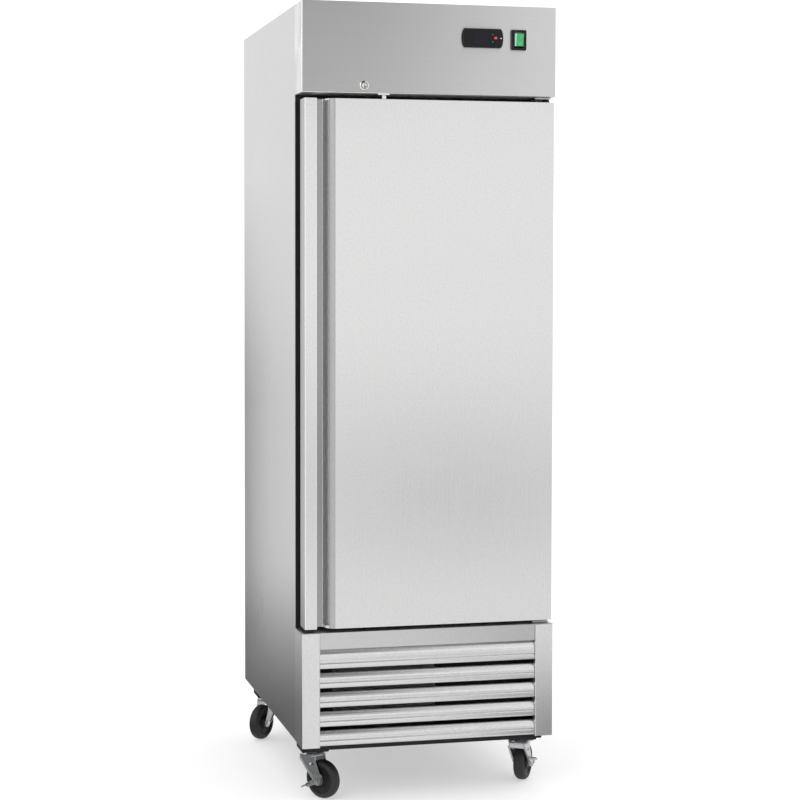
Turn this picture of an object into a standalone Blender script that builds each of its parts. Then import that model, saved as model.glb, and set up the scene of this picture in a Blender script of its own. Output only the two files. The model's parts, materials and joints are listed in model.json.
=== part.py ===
"""Single-door stainless reach-in refrigerator, as an assembly of separate pieces.

Metres, +Z up. The origin is on the floor under the middle of the whole box. The front faces -Y,
so +X is on the right of someone who stands in front of the door.
"""

import math

import bmesh
import bpy
from mathutils import Matrix, Vector

# Driving dimensions
WIDTH = 0.686
DEPTH = 0.850  # front plane of the header to the back panel
HEIGHT = 2.095
SWITCH_PROUD = 0.012  # how far the rocker stands in front of the header
GLAND_PROUD = 0.010  # how far the cord gland stands behind the back panel
FRONT_DEPTH = 0.088  # header, door and base in front of the cabinet body
BODY_BOTTOM = 0.1565
TRAY_BOTTOM = 0.1428
BASE_TOP = 0.459
DOOR_BOTTOM = 0.4685
DOOR_TOP = 1.846
HEADER_BOTTOM = 1.860
WALL = 0.058  # foamed wall
SHEET = 0.0015
GAP = 0.0003  # clearance between pieces that rest on each other

# Door
DOOR_LEFT_INSET = 0.0089
DOOR_RIGHT_INSET = 0.0024
DOOR_FACE = 0.004  # depths are measured back from the header's front plane
DOOR_BACK = 0.062
LIP_WIDTH = 0.0326
LIP_UNDERCUT = 0.003
CHANNEL_FLOOR_END = 0.055
CHANNEL_END = 0.0813
CHANNEL_DEPTH = 0.035
CHANNEL_STEPS = 8
GASKET_INSET = 0.010
GASKET_WIDTH = 0.022
GASKET_BACK = 0.0872
PAN_INSET = 0.038
PAN_RISE = 0.010
HINGE_INSET = 0.0165  # hinge axis from the right side
HINGE_DEPTH = 0.034
HINGE_PIN_RADIUS = 0.0045
HINGE_PIN_LENGTH = 0.016

# Header fittings, measured from the left side and from the floor
LOCK_X, LOCK_Z = 0.1652, 1.8797
BOLT_X = 0.2198
BOLT_WIDTH = 0.0107
BOLT_FRONT, BOLT_THICK = 0.0075, 0.003
BOLT_TRAVEL = 0.012
LOCK_SLIDE_DEPTH = 0.0363
CONTROLLER_X, CONTROLLER_Z = 0.4826, 2.0090
CONTROLLER_SIZE = (0.1125, 0.050)
CONTROLLER_BODY = (0.094, 0.036)
CONTROLLER_PROUD = 0.008
BUTTON_X, BUTTON_PITCH = 0.5087, 0.019
BUTTON_SIZE = (0.0085, 0.0075)
SWITCH_X, SWITCH_Z = 0.5814, 2.0066
SWITCH_SIZE = (0.0415, 0.0525)
SWITCH_BODY = (0.030, 0.040)
SWITCH_RIM = 0.006
ROCKER_SIZE = (0.0235, 0.033)
ROCKER_SWING = math.radians(14)
ROCKER_HIGH_TILT = math.radians(11)  # the raised half's slope at rest

# Base grille
STILE_WIDTH = 0.0485
STILE_FLANGE = 0.020
RAIL_BOTTOM = 0.414
RAIL_SETBACK = 0.0035
LOUVER_COUNT = 5
LOUVER_PITCH = 0.0509
LOUVER_SETBACK = 0.005
LOUVER_RETURN = 0.010
LOUVER_LIP = 0.016
LOUVER_RISE = 0.024
LOUVER_DEPTH = 0.014

# Cold space
CAVITY_FLOOR = 0.517
OPENING_TOP = 1.800
CAVITY_TOP = 2.037
HEADER_WALL_BACK = 0.150
FRAME_THICK = 0.006
SHELF_HEIGHTS = (0.820, 1.120, 1.420)
SHELF_SLOTS = 9
POST_DEPTHS = (0.210, 0.660)

# Machine space
COIL_X = (-0.250, 0.060)
COIL_TOP = 0.400
COIL_DEPTHS = (0.110, 0.170)
SHROUD_DEPTHS = (0.172, 0.222)
CONDENSER_FAN_RADIUS = 0.106
COMPRESSOR_PLACE = (-0.100, 0.560)
COMPRESSOR_RADIUS = 0.085
GLAND_PLACE = (0.315, 0.200)
GLAND_RADIUS = 0.0075

# Casters, placed by swivel axis and by the direction in which the wheel trails
WHEEL_RADIUS = 0.0508
WHEEL_WIDTH = 0.032
TRAIL = 0.036
CASTER_INSET = 0.0535
FRONT_CASTER_DEPTH = 0.116
REAR_CASTER_DEPTH = 0.760
CASTERS = {
    "front_left": (-1, FRONT_CASTER_DEPTH, -52.0),
    "front_right": (1, FRONT_CASTER_DEPTH, 55.5),
    "rear_left": (-1, REAR_CASTER_DEPTH, -132.6),
    "rear_right": (1, REAR_CASTER_DEPTH, -47.4),
}
PEDAL_ANGLES = {"front_left": -27.0, "front_right": 30.0}
FORK_LEG = (0.0195, 0.0225)  # a leg's inner and outer face, to each side of the wheel's middle
LEVER_PLANES = (-0.0292, -0.0264)  # the brake lever's two faces, outside the leg and its axle nut

FRONT_Y = (SWITCH_PROUD - DEPTH - GLAND_PROUD) / 2
BACK_Y = FRONT_Y + DEPTH
BODY_Y = FRONT_Y + FRONT_DEPTH
HALF = WIDTH / 2
INNER_HALF = HALF - SHEET - GAP  # inside the side panels
CAVITY_HALF = HALF - WALL
DOOR_LEFT = -HALF + DOOR_LEFT_INSET
DOOR_WIDTH = WIDTH - DOOR_LEFT_INSET - DOOR_RIGHT_INSET
HINGE = (HALF - HINGE_INSET, FRONT_Y + HINGE_DEPTH)

COLOURS = {
    "stainless": ((0.72, 0.72, 0.71), 0.32, 1.0),
    "stainless_header": ((0.66, 0.66, 0.65), 0.35, 1.0),
    "aluminium": ((0.78, 0.79, 0.80), 0.40, 1.0),
    "foam": ((0.86, 0.78, 0.55), 0.90, 0.0),
    "frame_plastic": ((0.02, 0.02, 0.02), 0.55, 0.0),
    "gasket_rubber": ((0.12, 0.12, 0.12), 0.70, 0.0),
    "black_paint": ((0.015, 0.015, 0.015), 0.45, 0.0),
    "compressor_paint": ((0.02, 0.02, 0.022), 0.35, 0.0),
    "copper_fins": ((0.70, 0.72, 0.74), 0.45, 1.0),
    "fan_plastic": ((0.03, 0.03, 0.035), 0.50, 0.0),
    "controller_plastic": ((0.02, 0.02, 0.022), 0.30, 0.0),
    "key_plastic": ((0.35, 0.36, 0.37), 0.50, 0.0),
    "rocker_green": ((0.01, 0.32, 0.12), 0.25, 0.0),
    "nickel": ((0.80, 0.80, 0.78), 0.20, 1.0),
    "zinc": ((0.70, 0.71, 0.72), 0.28, 1.0),
    "wheel_rubber": ((0.02, 0.02, 0.02), 0.60, 0.0),
    "shelf_coating": ((0.85, 0.86, 0.86), 0.35, 0.0),
}


def clear_scene():
    for obj in list(bpy.data.objects):
        bpy.data.objects.remove(obj, do_unlink=True)


def new_collection(name):
    made = bpy.data.collections.new(name)
    bpy.context.scene.collection.children.link(made)
    return made


clear_scene()
PARTS = new_collection("reach_in_refrigerator")
CUTTERS = new_collection("cutters")


def material(slot):
    found = bpy.data.materials.get(slot)
    if found:
        return found
    colour, roughness, metallic = COLOURS[slot]
    made = bpy.data.materials.new(slot)
    made.use_nodes = True
    shader = made.node_tree.nodes["Principled BSDF"]
    shader.inputs["Base Color"].default_value = (*colour, 1.0)
    shader.inputs["Roughness"].default_value = roughness
    shader.inputs["Metallic"].default_value = metallic
    return made


def add_object(name, data, slot, origin=(0.0, 0.0, 0.0)):
    """Link a mesh as a part, or as a hidden helper when it has no material slot."""
    obj = bpy.data.objects.new(name, data)
    obj.location = origin
    if slot:
        data.materials.append(material(slot))
        PARTS.objects.link(obj)
    else:
        CUTTERS.objects.link(obj)
        obj.hide_render = True
        obj.display_type = "WIRE"
    return obj


def box(name, slot, x, y, z, origin=(0.0, 0.0, 0.0)):
    """A block between the given (low, high) pairs, which are measured from the origin."""
    lows = Vector((x[0], y[0], z[0]))
    highs = Vector((x[1], y[1], z[1]))
    bm = bmesh.new()
    bmesh.ops.create_cube(bm, size=1.0)
    bm.transform(Matrix.Translation((lows + highs) / 2) @ Matrix.Diagonal((*(highs - lows), 1.0)))
    mesh = bpy.data.meshes.new(name)
    bm.to_mesh(mesh)
    bm.free()
    return add_object(name, mesh, slot, origin)


# Each plane turns a flat outline's own (u, v) into two world axes, and its extrusion into the third.
PLANES = {
    "XY": Matrix(((1, 0, 0), (0, 1, 0), (0, 0, 1))),
    "XZ": Matrix(((1, 0, 0), (0, 0, -1), (0, 1, 0))),
    "YZ": Matrix(((0, 0, 1), (1, 0, 0), (0, 1, 0))),
}


def outline(name, slot, plane, loops, low, high, origin=(0.0, 0.0, 0.0)):
    """Extrude a flat outline, with holes for its further loops, from low to high across a plane."""
    curve = bpy.data.curves.new(name, "CURVE")
    curve.dimensions = "2D"
    curve.fill_mode = "BOTH"
    curve.extrude = (high - low) / 2
    for loop in loops:
        spline = curve.splines.new("POLY")
        spline.points.add(len(loop) - 1)
        for point, (u, v) in zip(spline.points, loop):
            point.co = (u, v, 0.0, 1.0)
        spline.use_cyclic_u = True
    flat = bpy.data.objects.new(name, curve)
    CUTTERS.objects.link(flat)
    graph = bpy.context.evaluated_depsgraph_get()
    mesh = bpy.data.meshes.new_from_object(flat.evaluated_get(graph))
    bpy.data.objects.remove(flat, do_unlink=True)
    mesh.name = name
    turn = PLANES[plane].to_4x4()
    middle = (low + high) / 2 * (-1 if plane == "XZ" else 1)
    bm = bmesh.new()
    bm.from_mesh(mesh)
    bmesh.ops.remove_doubles(bm, verts=bm.verts, dist=0.00002)
    bm.transform(turn @ Matrix.Translation((0.0, 0.0, middle)))
    bmesh.ops.recalc_face_normals(bm, faces=bm.faces)
    if bm.calc_volume(signed=True) < 0:
        bmesh.ops.reverse_faces(bm, faces=bm.faces)
    bm.to_mesh(mesh)
    bm.free()
    mesh.materials.clear()
    return add_object(name, mesh, slot, origin)


def turned(name, slot, profile, origin=(0.0, 0.0, 0.0), axis="Z", steps=24, closed=False):
    """Turn a profile of (radius, height) points, listed from top to bottom on its outer side."""
    points = [(radius, 0.0, height) for radius, height in profile]
    edges = [(i, i + 1) for i in range(len(points) - 1)]
    if closed:
        edges.append((len(points) - 1, 0))
    mesh = bpy.data.meshes.new(name)
    mesh.from_pydata(points, edges, [])
    obj = add_object(name, mesh, slot, origin)
    obj.rotation_euler = {"Z": (0, 0, 0), "Y": (math.radians(90), 0, 0), "X": (0, math.radians(90), 0)}[axis]
    screw = obj.modifiers.new("turn", "SCREW")
    screw.steps = screw.render_steps = steps
    screw.use_merge_vertices = True
    screw.merge_threshold = 0.00005
    screw.use_smooth_shade = True
    return obj


def combine(obj, operation, *others):
    for other in others:
        step = obj.modifiers.new(operation.lower(), "BOOLEAN")
        step.operation = operation
        step.solver = "EXACT"
        step.object = other
    return obj


def cut(obj, *others):
    return combine(obj, "DIFFERENCE", *others)


def fuse(obj, *others):
    return combine(obj, "UNION", *others)


def rectangle(u, v):
    return [(u[0], v[0]), (u[1], v[0]), (u[1], v[1]), (u[0], v[1])]


def circle(u, v, radius, steps=24):
    angles = [2 * math.pi * i / steps for i in range(steps)]
    return [(u + radius * math.cos(a), v + radius * math.sin(a)) for a in angles]


def inset(loop, amount):
    """Move each side of a counter-clockwise outline inward by the same amount."""
    moved = []
    for i, here in enumerate(loop):
        before, after = Vector(loop[i - 1]), Vector(loop[(i + 1) % len(loop)])
        here = Vector(here)
        first, second = (here - before).normalized(), (after - here).normalized()
        normals = [Vector((-side.y, side.x)) for side in (first, second)]
        bisector = (normals[0] + normals[1]).normalized()
        moved.append(tuple(here + bisector * amount / bisector.dot(normals[0])))
    return moved


def span(middle, size):
    return (middle - size / 2, middle + size / 2)


# Cabinet body


def build_cabinet():
    for side, sign in (("left", -1), ("right", 1)):
        flange = HALF - 0.0195
        section = [
            (sign * HALF, BODY_BOTTOM),
            (sign * flange, BODY_BOTTOM),
            (sign * flange, BODY_BOTTOM + SHEET),
            (sign * (HALF - SHEET), BODY_BOTTOM + SHEET),
            (sign * (HALF - SHEET), HEIGHT),
            (sign * HALF, HEIGHT),
        ]
        outline(f"side_panel_{side}", "stainless", "XZ", [section], BODY_Y, BACK_Y)
    across = (-INNER_HALF, INNER_HALF)
    box("top_panel", "stainless", across, (BODY_Y, BACK_Y), (HEIGHT - SHEET, HEIGHT))
    build_back_panel()
    build_insulation()
    build_liner()
    opening = rectangle(span(0, 2 * (CAVITY_HALF - SHEET)), (CAVITY_FLOOR + SHEET, OPENING_TOP - SHEET))
    frame = rectangle(across, (BASE_TOP + GAP, HEADER_BOTTOM - GAP))
    outline("front_frame", "frame_plastic", "XZ", [frame, opening], BODY_Y, BODY_Y + FRAME_THICK)


def build_back_panel():
    """The back sheet, with upright air slots behind the machine space."""
    slots = 14
    pitch = 2 * INNER_HALF * 0.9 / slots
    loops = [rectangle((-INNER_HALF, INNER_HALF), (BODY_BOTTOM + SHEET + GAP, HEIGHT - SHEET - GAP))]
    for i in range(slots):
        middle = (i - (slots - 1) / 2) * pitch
        loops.append(rectangle(span(middle, 0.012), (0.215, 0.410)))
    outline("back_panel", "stainless", "XZ", loops, BACK_Y - SHEET, BACK_Y)


def build_insulation():
    foam_front = BODY_Y + FRAME_THICK + GAP
    shell = box(
        "cabinet_insulation",
        "foam",
        (-INNER_HALF, INNER_HALF),
        (foam_front, BACK_Y - SHEET - GAP),
        (BASE_TOP + GAP, HEIGHT - SHEET - GAP),
    )
    across = (-CAVITY_HALF, CAVITY_HALF)
    back = BACK_Y - WALL
    space = box(
        "cold_space", None, across, (FRONT_Y + HEADER_WALL_BACK, back), (CAVITY_FLOOR, CAVITY_TOP)
    )
    mouth = box(
        "door_mouth", None, across, (BODY_Y, FRONT_Y + HEADER_WALL_BACK + 0.01), (CAVITY_FLOOR, OPENING_TOP)
    )
    cut(shell, space, mouth)


def liner_section(front):
    back = BACK_Y - WALL
    header_wall = FRONT_Y + HEADER_WALL_BACK
    return [
        (front, CAVITY_FLOOR),
        (back, CAVITY_FLOOR),
        (back, CAVITY_TOP),
        (header_wall, CAVITY_TOP),
        (header_wall, OPENING_TOP),
        (front, OPENING_TOP),
    ]


def build_liner():
    front = BODY_Y + FRAME_THICK
    outside = inset(liner_section(front), GAP)
    hollow = inset(liner_section(front - 0.02), SHEET)
    outer_half = CAVITY_HALF - GAP
    inner_half = CAVITY_HALF - SHEET
    liner = outline("inner_liner", "aluminium", "YZ", [outside], -outer_half, outer_half)
    cut(liner, outline("liner_hollow", None, "YZ", [hollow], -inner_half, inner_half))


# Header and its fittings


def build_header():
    header = box(
        "header_panel",
        "stainless_header",
        (-HALF, HALF),
        (FRONT_Y, BODY_Y - GAP),
        (HEADER_BOTTOM, HEIGHT),
    )
    hollow = box(
        "header_hollow",
        None,
        (-HALF + SHEET, HALF - SHEET),
        (FRONT_Y + SHEET, BODY_Y + 0.01),
        (HEADER_BOTTOM + SHEET, HEIGHT - SHEET),
    )
    through = (FRONT_Y - 0.01, FRONT_Y + 0.01)
    windows = [
        box(
            f"{name}_window",
            None,
            span(x - HALF, size[0] + 2 * GAP),
            through,
            span(z, size[1] + 2 * GAP),
        )
        for name, x, z, size in (
            ("controller", CONTROLLER_X, CONTROLLER_Z, CONTROLLER_BODY),
            ("switch", SWITCH_X, SWITCH_Z, SWITCH_BODY),
        )
    ]
    hole = outline(
        "lock_hole", None, "XZ", [circle(LOCK_X - HALF, LOCK_Z, 0.0098)], *through
    )
    slot = box(
        "bolt_slot",
        None,
        span(BOLT_X - HALF, BOLT_WIDTH + 0.002),
        (FRONT_Y + BOLT_FRONT - 0.001, FRONT_Y + BOLT_FRONT + BOLT_THICK + 0.001),
        span(HEADER_BOTTOM, 0.01),
    )
    cut(header, hollow, *windows, hole, slot)


def build_controller():
    x, z = CONTROLLER_X - HALF, CONTROLLER_Z
    wide, high = CONTROLLER_SIZE
    bow = 0.003
    ends = []
    for sign in (1, -1):
        for i in range(7):
            rise = sign * high * (i / 6 - 0.5)
            reach = bow * (1 - (2 * rise / high) ** 2)
            ends.append((x + sign * (wide / 2 - bow + reach), z + rise))
    front = FRONT_Y - CONTROLLER_PROUD
    bezel = outline("controller_housing", "controller_plastic", "XZ", [ends], front, FRONT_Y - GAP)
    body = box(
        "controller_body",
        None,
        span(x, CONTROLLER_BODY[0]),
        (FRONT_Y - 0.002, FRONT_Y + 0.055),
        span(z, CONTROLLER_BODY[1]),
    )
    fuse(bezel, body)
    for name, sign in (("up", 1), ("down", -1)):
        middle = (BUTTON_X - HALF, CONTROLLER_Z + sign * BUTTON_PITCH / 2)
        clear = 0.0004
        pocket = box(
            f"button_{name}_pocket",
            None,
            span(middle[0], BUTTON_SIZE[0] + 2 * clear),
            (front - 0.001, front + 0.0035),
            span(middle[1], BUTTON_SIZE[1] + 2 * clear),
        )
        cut(bezel, pocket)
        box(
            f"button_{name}",
            "key_plastic",
            span(0, BUTTON_SIZE[0]),
            (-0.0008, 0.0020),
            span(0, BUTTON_SIZE[1]),
            origin=(middle[0], front, middle[1]),
        )


def build_switch():
    x, z = SWITCH_X - HALF, SWITCH_Z
    housing = box(
        "switch_housing",
        "controller_plastic",
        span(x, SWITCH_SIZE[0]),
        (FRONT_Y - SWITCH_RIM, FRONT_Y - GAP),
        span(z, SWITCH_SIZE[1]),
    )
    body = box(
        "switch_body",
        None,
        span(x, SWITCH_BODY[0]),
        (FRONT_Y - 0.002, FRONT_Y + 0.030),
        span(z, SWITCH_BODY[1]),
    )
    well = box(
        "rocker_well",
        None,
        span(x, ROCKER_SIZE[0] + 0.001),
        (FRONT_Y - SWITCH_RIM - 0.001, FRONT_Y + 0.012),
        span(z, ROCKER_SIZE[1] + 0.009),
    )
    cut(fuse(housing, body), well)
    build_rocker(x, z)


def build_rocker(x, z):
    """A two-faced key that tips about its own pin, seen from the side as a shallow V on a round back."""
    half = ROCKER_SIZE[1] / 2
    pivot_depth = 0.004
    high_side = -pivot_depth - SWITCH_PROUD
    ridge = high_side + half * math.tan(ROCKER_HIGH_TILT)
    low_side = ridge + half * math.tan(ROCKER_SWING - ROCKER_HIGH_TILT)
    section = [
        (high_side, half),
        (ridge, 0.0),
        (low_side, -half),
        (-0.002, -half * 0.96),
        (0.0045, -half * 0.45),
        (0.0060, 0.0),
        (0.0045, half * 0.45),
        (-0.002, half * 0.96),
    ]
    outline(
        "switch_rocker",
        "rocker_green",
        "YZ",
        [section],
        -ROCKER_SIZE[0] / 2,
        ROCKER_SIZE[0] / 2,
        origin=(x, FRONT_Y + pivot_depth, z),
    )


def build_lock():
    x = LOCK_X - HALF
    back = 0.030
    bore = 0.0063
    ring = [
        (0.0110, 0.0025),
        (0.0125, 0.0010),
        (0.0125, GAP),
        (0.0095, GAP),
        (0.0095, -back),
        (bore, -back),
        (bore, 0.0025),
    ]
    turned("lock_barrel", "nickel", ring, (x, FRONT_Y, LOCK_Z), "Y", 24, closed=True)
    plug = [(0.0, 0.0022), (0.0060, 0.0022), (0.0060, -back - 0.002), (0.0, -back - 0.002)]
    key_plug = turned("lock_plug", "nickel", plug, (x, FRONT_Y, LOCK_Z), "Y", 20)
    arm = box(
        "lock_cam",
        None,
        (x - 0.004, x + 0.015),
        (FRONT_Y + back + 0.001, FRONT_Y + back + 0.0035),
        span(LOCK_Z, 0.008),
    )
    keyway = box(
        "keyway", None, span(x, 0.0012), (FRONT_Y - 0.01, FRONT_Y + 0.004), span(LOCK_Z, 0.006)
    )
    cut(fuse(key_plug, arm), keyway)
    build_bolt()


def build_bolt():
    """A cranked bolt: a bar behind the lock, an arm that comes forward, and the tongue over the door."""
    tip = DOOR_TOP + 0.001
    thick = BOLT_THICK
    middle = BOLT_X - HALF
    high = span(LOCK_Z + 0.002, 0.010)
    bar = box(
        "lock_bolt",
        "nickel",
        (LOCK_X - HALF - 0.008, middle + BOLT_WIDTH / 2),
        (FRONT_Y + LOCK_SLIDE_DEPTH, FRONT_Y + LOCK_SLIDE_DEPTH + thick),
        high,
    )
    arm = box(
        "bolt_arm",
        None,
        span(middle, BOLT_WIDTH - 0.0004),
        (FRONT_Y + BOLT_FRONT + 0.0002, FRONT_Y + LOCK_SLIDE_DEPTH + 0.001),
        (high[0] + 0.001, high[0] + 0.001 + thick),
    )
    tongue = box(
        "bolt_tongue",
        None,
        span(middle, BOLT_WIDTH),
        (FRONT_Y + BOLT_FRONT, FRONT_Y + BOLT_FRONT + thick),
        (tip, high[1]),
    )
    fuse(bar, arm, tongue)


# Base grille


def build_grille():
    plate_bottom = BASE_TOP - SHEET
    for side, sign in (("left", -1), ("right", 1)):
        outer, inner = HALF, HALF - STILE_WIDTH
        section = [
            (sign * outer, BODY_Y - GAP),
            (sign * outer, FRONT_Y),
            (sign * inner, FRONT_Y),
            (sign * inner, FRONT_Y + STILE_FLANGE),
            (sign * (inner + SHEET), FRONT_Y + STILE_FLANGE),
            (sign * (inner + SHEET), FRONT_Y + SHEET),
            (sign * (outer - SHEET), FRONT_Y + SHEET),
            (sign * (outer - SHEET), BODY_Y - GAP),
        ]
        top = plate_bottom - GAP
        outline(f"grille_stile_{side}", "stainless", "XY", [section], BODY_BOTTOM, top)
    inner = HALF - STILE_WIDTH - GAP
    face = FRONT_Y + RAIL_SETBACK
    section = [
        (face, RAIL_BOTTOM),
        (face + 0.015, RAIL_BOTTOM),
        (face + 0.015, RAIL_BOTTOM + SHEET),
        (face + SHEET, RAIL_BOTTOM + SHEET),
        (face + SHEET, BASE_TOP - SHEET / 2),
        (face, BASE_TOP - SHEET / 2),
    ]
    rail = outline("grille_rail", "stainless", "YZ", [section], -inner, inner)
    cover = box("base_cover", None, (-HALF, HALF), (FRONT_Y, BODY_Y - GAP), (plate_bottom, BASE_TOP))
    fuse(rail, cover)
    for i in range(LOUVER_COUNT):
        build_louver(i, inner)


def build_louver(index, half_length):
    """A folded blade: a return, an upright lip at the front and a steep face that climbs to the back."""
    bottom = RAIL_BOTTOM - (index + 1) * LOUVER_PITCH
    front = FRONT_Y + LOUVER_SETBACK
    fold = bottom + LOUVER_LIP
    rise = LOUVER_RISE if index else LOUVER_PITCH - LOUVER_LIP - 2 * GAP  # the first one closes up to the rail
    back, top = front + LOUVER_DEPTH, fold + rise
    slope = rise / LOUVER_DEPTH
    drop = SHEET * math.hypot(1.0, slope)  # the sheet's thickness, measured straight down through the face
    section = [
        (front, bottom),
        (front + LOUVER_RETURN, bottom),
        (front + LOUVER_RETURN, bottom + SHEET),
        (front + SHEET, bottom + SHEET),
        (front + SHEET, fold + SHEET * slope - drop),
        (back, top - drop),
        (back, top),
        (front, fold),
    ]
    name = f"louver_{index + 1}"
    outline(name, "stainless", "YZ", [section], -half_length, half_length)


# Machine space


def build_machine_space():
    floor = TRAY_BOTTOM + 0.002
    tray = box(
        "base_tray",
        "black_paint",
        (-HALF + 0.020, HALF - 0.020),
        (FRONT_Y + 0.027, BACK_Y - 0.006),
        (TRAY_BOTTOM, 0.185),
    )
    hollow = box(
        "tray_hollow",
        None,
        (-HALF + 0.022, HALF - 0.022),
        (FRONT_Y + 0.029, BACK_Y - 0.008),
        (floor, 0.2),
    )
    notch = box(
        "louver_clearance", None, (-HALF, HALF), (FRONT_Y + 0.02, FRONT_Y + 0.06), (BODY_BOTTOM, 0.2)
    )
    cut(tray, hollow, notch)
    floor += GAP
    coil_z = (floor, COIL_TOP)
    coil_front, coil_back = (FRONT_Y + depth for depth in COIL_DEPTHS)
    box("condenser_coil", "copper_fins", COIL_X, (coil_front, coil_back), coil_z)
    front, back = (FRONT_Y + depth for depth in SHROUD_DEPTHS)
    middle = (sum(COIL_X) / 2, sum(coil_z) / 2)
    opening = circle(*middle, CONDENSER_FAN_RADIUS + 0.007, 32)
    plate = [rectangle(COIL_X, coil_z), opening]
    shroud = outline("condenser_shroud", "black_paint", "XZ", plate, front, back)
    motor = outline("condenser_motor", None, "XZ", [circle(*middle, 0.032, 20)], back + 0.004, back + 0.060)
    bracket = box(
        "motor_bracket",
        None,
        span(middle[0], 0.250),
        (back - 0.001, back + 0.008),
        span(middle[1], 0.024),
    )
    fuse(shroud, bracket, motor)
    build_fan("condenser_fan", (middle[0], (front + back) / 2, middle[1]), CONDENSER_FAN_RADIUS)
    build_compressor(floor)
    build_gland()


def build_gland():
    """The bushing that the supply cord would leave through, in its own hole in the back sheet."""
    x, z = GLAND_PLACE
    wide = GLAND_RADIUS
    profile = [(0.0, 0.0), (wide * 0.8, 0.0), (wide, -0.006), (wide, -GLAND_PROUD), (0.0, -GLAND_PROUD)]
    turned("cord_gland", "frame_plastic", profile, (x, BACK_Y, z), "Y", 16)
    hole = outline("gland_hole", None, "XZ", [circle(x, z, wide + 0.0004, 16)], BACK_Y - 0.02, BACK_Y + 0.01)
    cut(bpy.data.objects["back_panel"], hole)


def build_compressor(floor):
    """A hermetic can on a mounting plate with its own domed lid."""
    x, depth = COMPRESSOR_PLACE
    radius = COMPRESSOR_RADIUS
    can = [(0.0, 0.190), (0.040, 0.187), (0.070, 0.172), (radius, 0.140), (radius, 0.105)]
    can += [(radius + 0.003, 0.100), (radius, 0.095), (radius, 0.045), (0.072, 0.022), (0.0, 0.018)]
    compressor = turned("compressor", "compressor_paint", can, (x, FRONT_Y + depth, floor), "Z", 28)
    feet = box(
        "compressor_feet",
        None,
        span(x, 0.240),
        span(FRONT_Y + depth, 0.140),
        (floor, floor + 0.024),
    )
    fuse(compressor, feet)


def build_fan(name, centre, radius):
    """A four-bladed axial fan about the Y axis."""
    hub_radius = 0.024
    hub = [(0.0, 0.012), (hub_radius - 0.004, 0.012), (hub_radius, 0.008)]
    hub += [(hub_radius, -0.012), (0.0, -0.012)]
    fan = turned(name, "fan_plastic", hub, centre, "Y", 20)
    pitch = math.radians(28)
    for i in range(4):
        blade = box(f"{name}_blade_{i}", None, (0.015, radius), span(0, 0.0022), span(0, 0.050))
        turn = Matrix.Rotation(math.radians(90 * i), 4, "Y") @ Matrix.Rotation(pitch, 4, "X")
        blade.data.transform(Matrix.Translation(centre) @ turn)
        fuse(fan, blade)


# Cold space fittings


def build_cold_space():
    build_evaporator()
    for side, sign in (("left", -1), ("right", 1)):
        for place, depth in zip(("front", "rear"), POST_DEPTHS):
            wall = CAVITY_HALF - SHEET - GAP
            section = [
                (sign * wall, -0.0125),
                (sign * (wall - 0.010), -0.0125),
                (sign * (wall - 0.010), 0.0125),
                (sign * wall, 0.0125),
            ]
            section = [(u, v + FRONT_Y + depth) for u, v in section]
            outline(
                f"shelf_post_{place}_{side}", "aluminium", "XY", [section], CAVITY_FLOOR + 0.02, 1.700
            )
    for index, height in enumerate(SHELF_HEIGHTS):
        build_shelf(f"shelf_{index + 1}", height)


def build_shelf(name, height):
    half = CAVITY_HALF - SHEET - 0.014
    y = (FRONT_Y + 0.125, FRONT_Y + 0.770)
    rim = 0.010
    bar = 0.010
    slot = (2 * (half - rim) - bar * (SHELF_SLOTS - 1)) / SHELF_SLOTS
    loops = [rectangle((-half, half), y)]
    for i in range(SHELF_SLOTS):
        left = -half + rim + i * (slot + bar)
        loops.append(rectangle((left, left + slot), (y[0] + rim, y[1] - rim)))
    outline(name, "shelf_coating", "XY", loops, height, height + 0.008)


def build_evaporator():
    """Coil, fan and cover in the pocket behind the header."""
    ceiling = CAVITY_TOP - SHEET - GAP
    half = 0.240
    front, back = FRONT_Y + 0.300, FRONT_Y + 0.760
    bottom = 1.815
    cover = box("evaporator_cover", "aluminium", (-half, half), (front, back), (bottom, ceiling))
    hollow = box(
        "cover_hollow",
        None,
        (-half + SHEET, half - SHEET),
        (front + SHEET, back + 0.01),
        (bottom + SHEET, ceiling + 0.01),
    )
    middle = (0.0, (bottom + ceiling) / 2)
    mouth = outline("cover_mouth", None, "XZ", [circle(*middle, 0.090, 32)], front - 0.01, front + 0.01)
    cut(cover, hollow, mouth)
    build_fan("evaporator_fan", (middle[0], front + 0.030, middle[1]), 0.086)
    box(
        "evaporator_coil",
        "copper_fins",
        span(0, 2 * half - 0.040),
        (front + 0.130, back - 0.080),
        (bottom + 0.020, ceiling - 0.010),
    )


# Door


def door_outline(back):
    """The door's plan section: a flat face that rolls down into a finger channel behind a lip at its left."""
    face = FRONT_Y + DOOR_FACE
    floor = face + CHANNEL_DEPTH
    points = [
        (0.0, back),
        (0.0, face),
        (LIP_WIDTH, face),
        (LIP_WIDTH - LIP_UNDERCUT, floor),
    ]
    controls = [
        Vector((CHANNEL_FLOOR_END, floor)),
        Vector((CHANNEL_FLOOR_END + 0.0035, face + CHANNEL_DEPTH / 2)),
        Vector((CHANNEL_FLOOR_END + 0.009, face + 0.002)),
        Vector((CHANNEL_END, face)),
    ]
    for i in range(CHANNEL_STEPS + 1):
        t = i / CHANNEL_STEPS
        weights = ((1 - t) ** 3, 3 * t * (1 - t) ** 2, 3 * t**2 * (1 - t), t**3)
        points.append(tuple(sum((w * c for w, c in zip(weights, controls)), Vector((0.0, 0.0)))))
    points += [(DOOR_WIDTH, face), (DOOR_WIDTH, back)]
    return [(DOOR_LEFT + u, v) for u, v in points]


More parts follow.
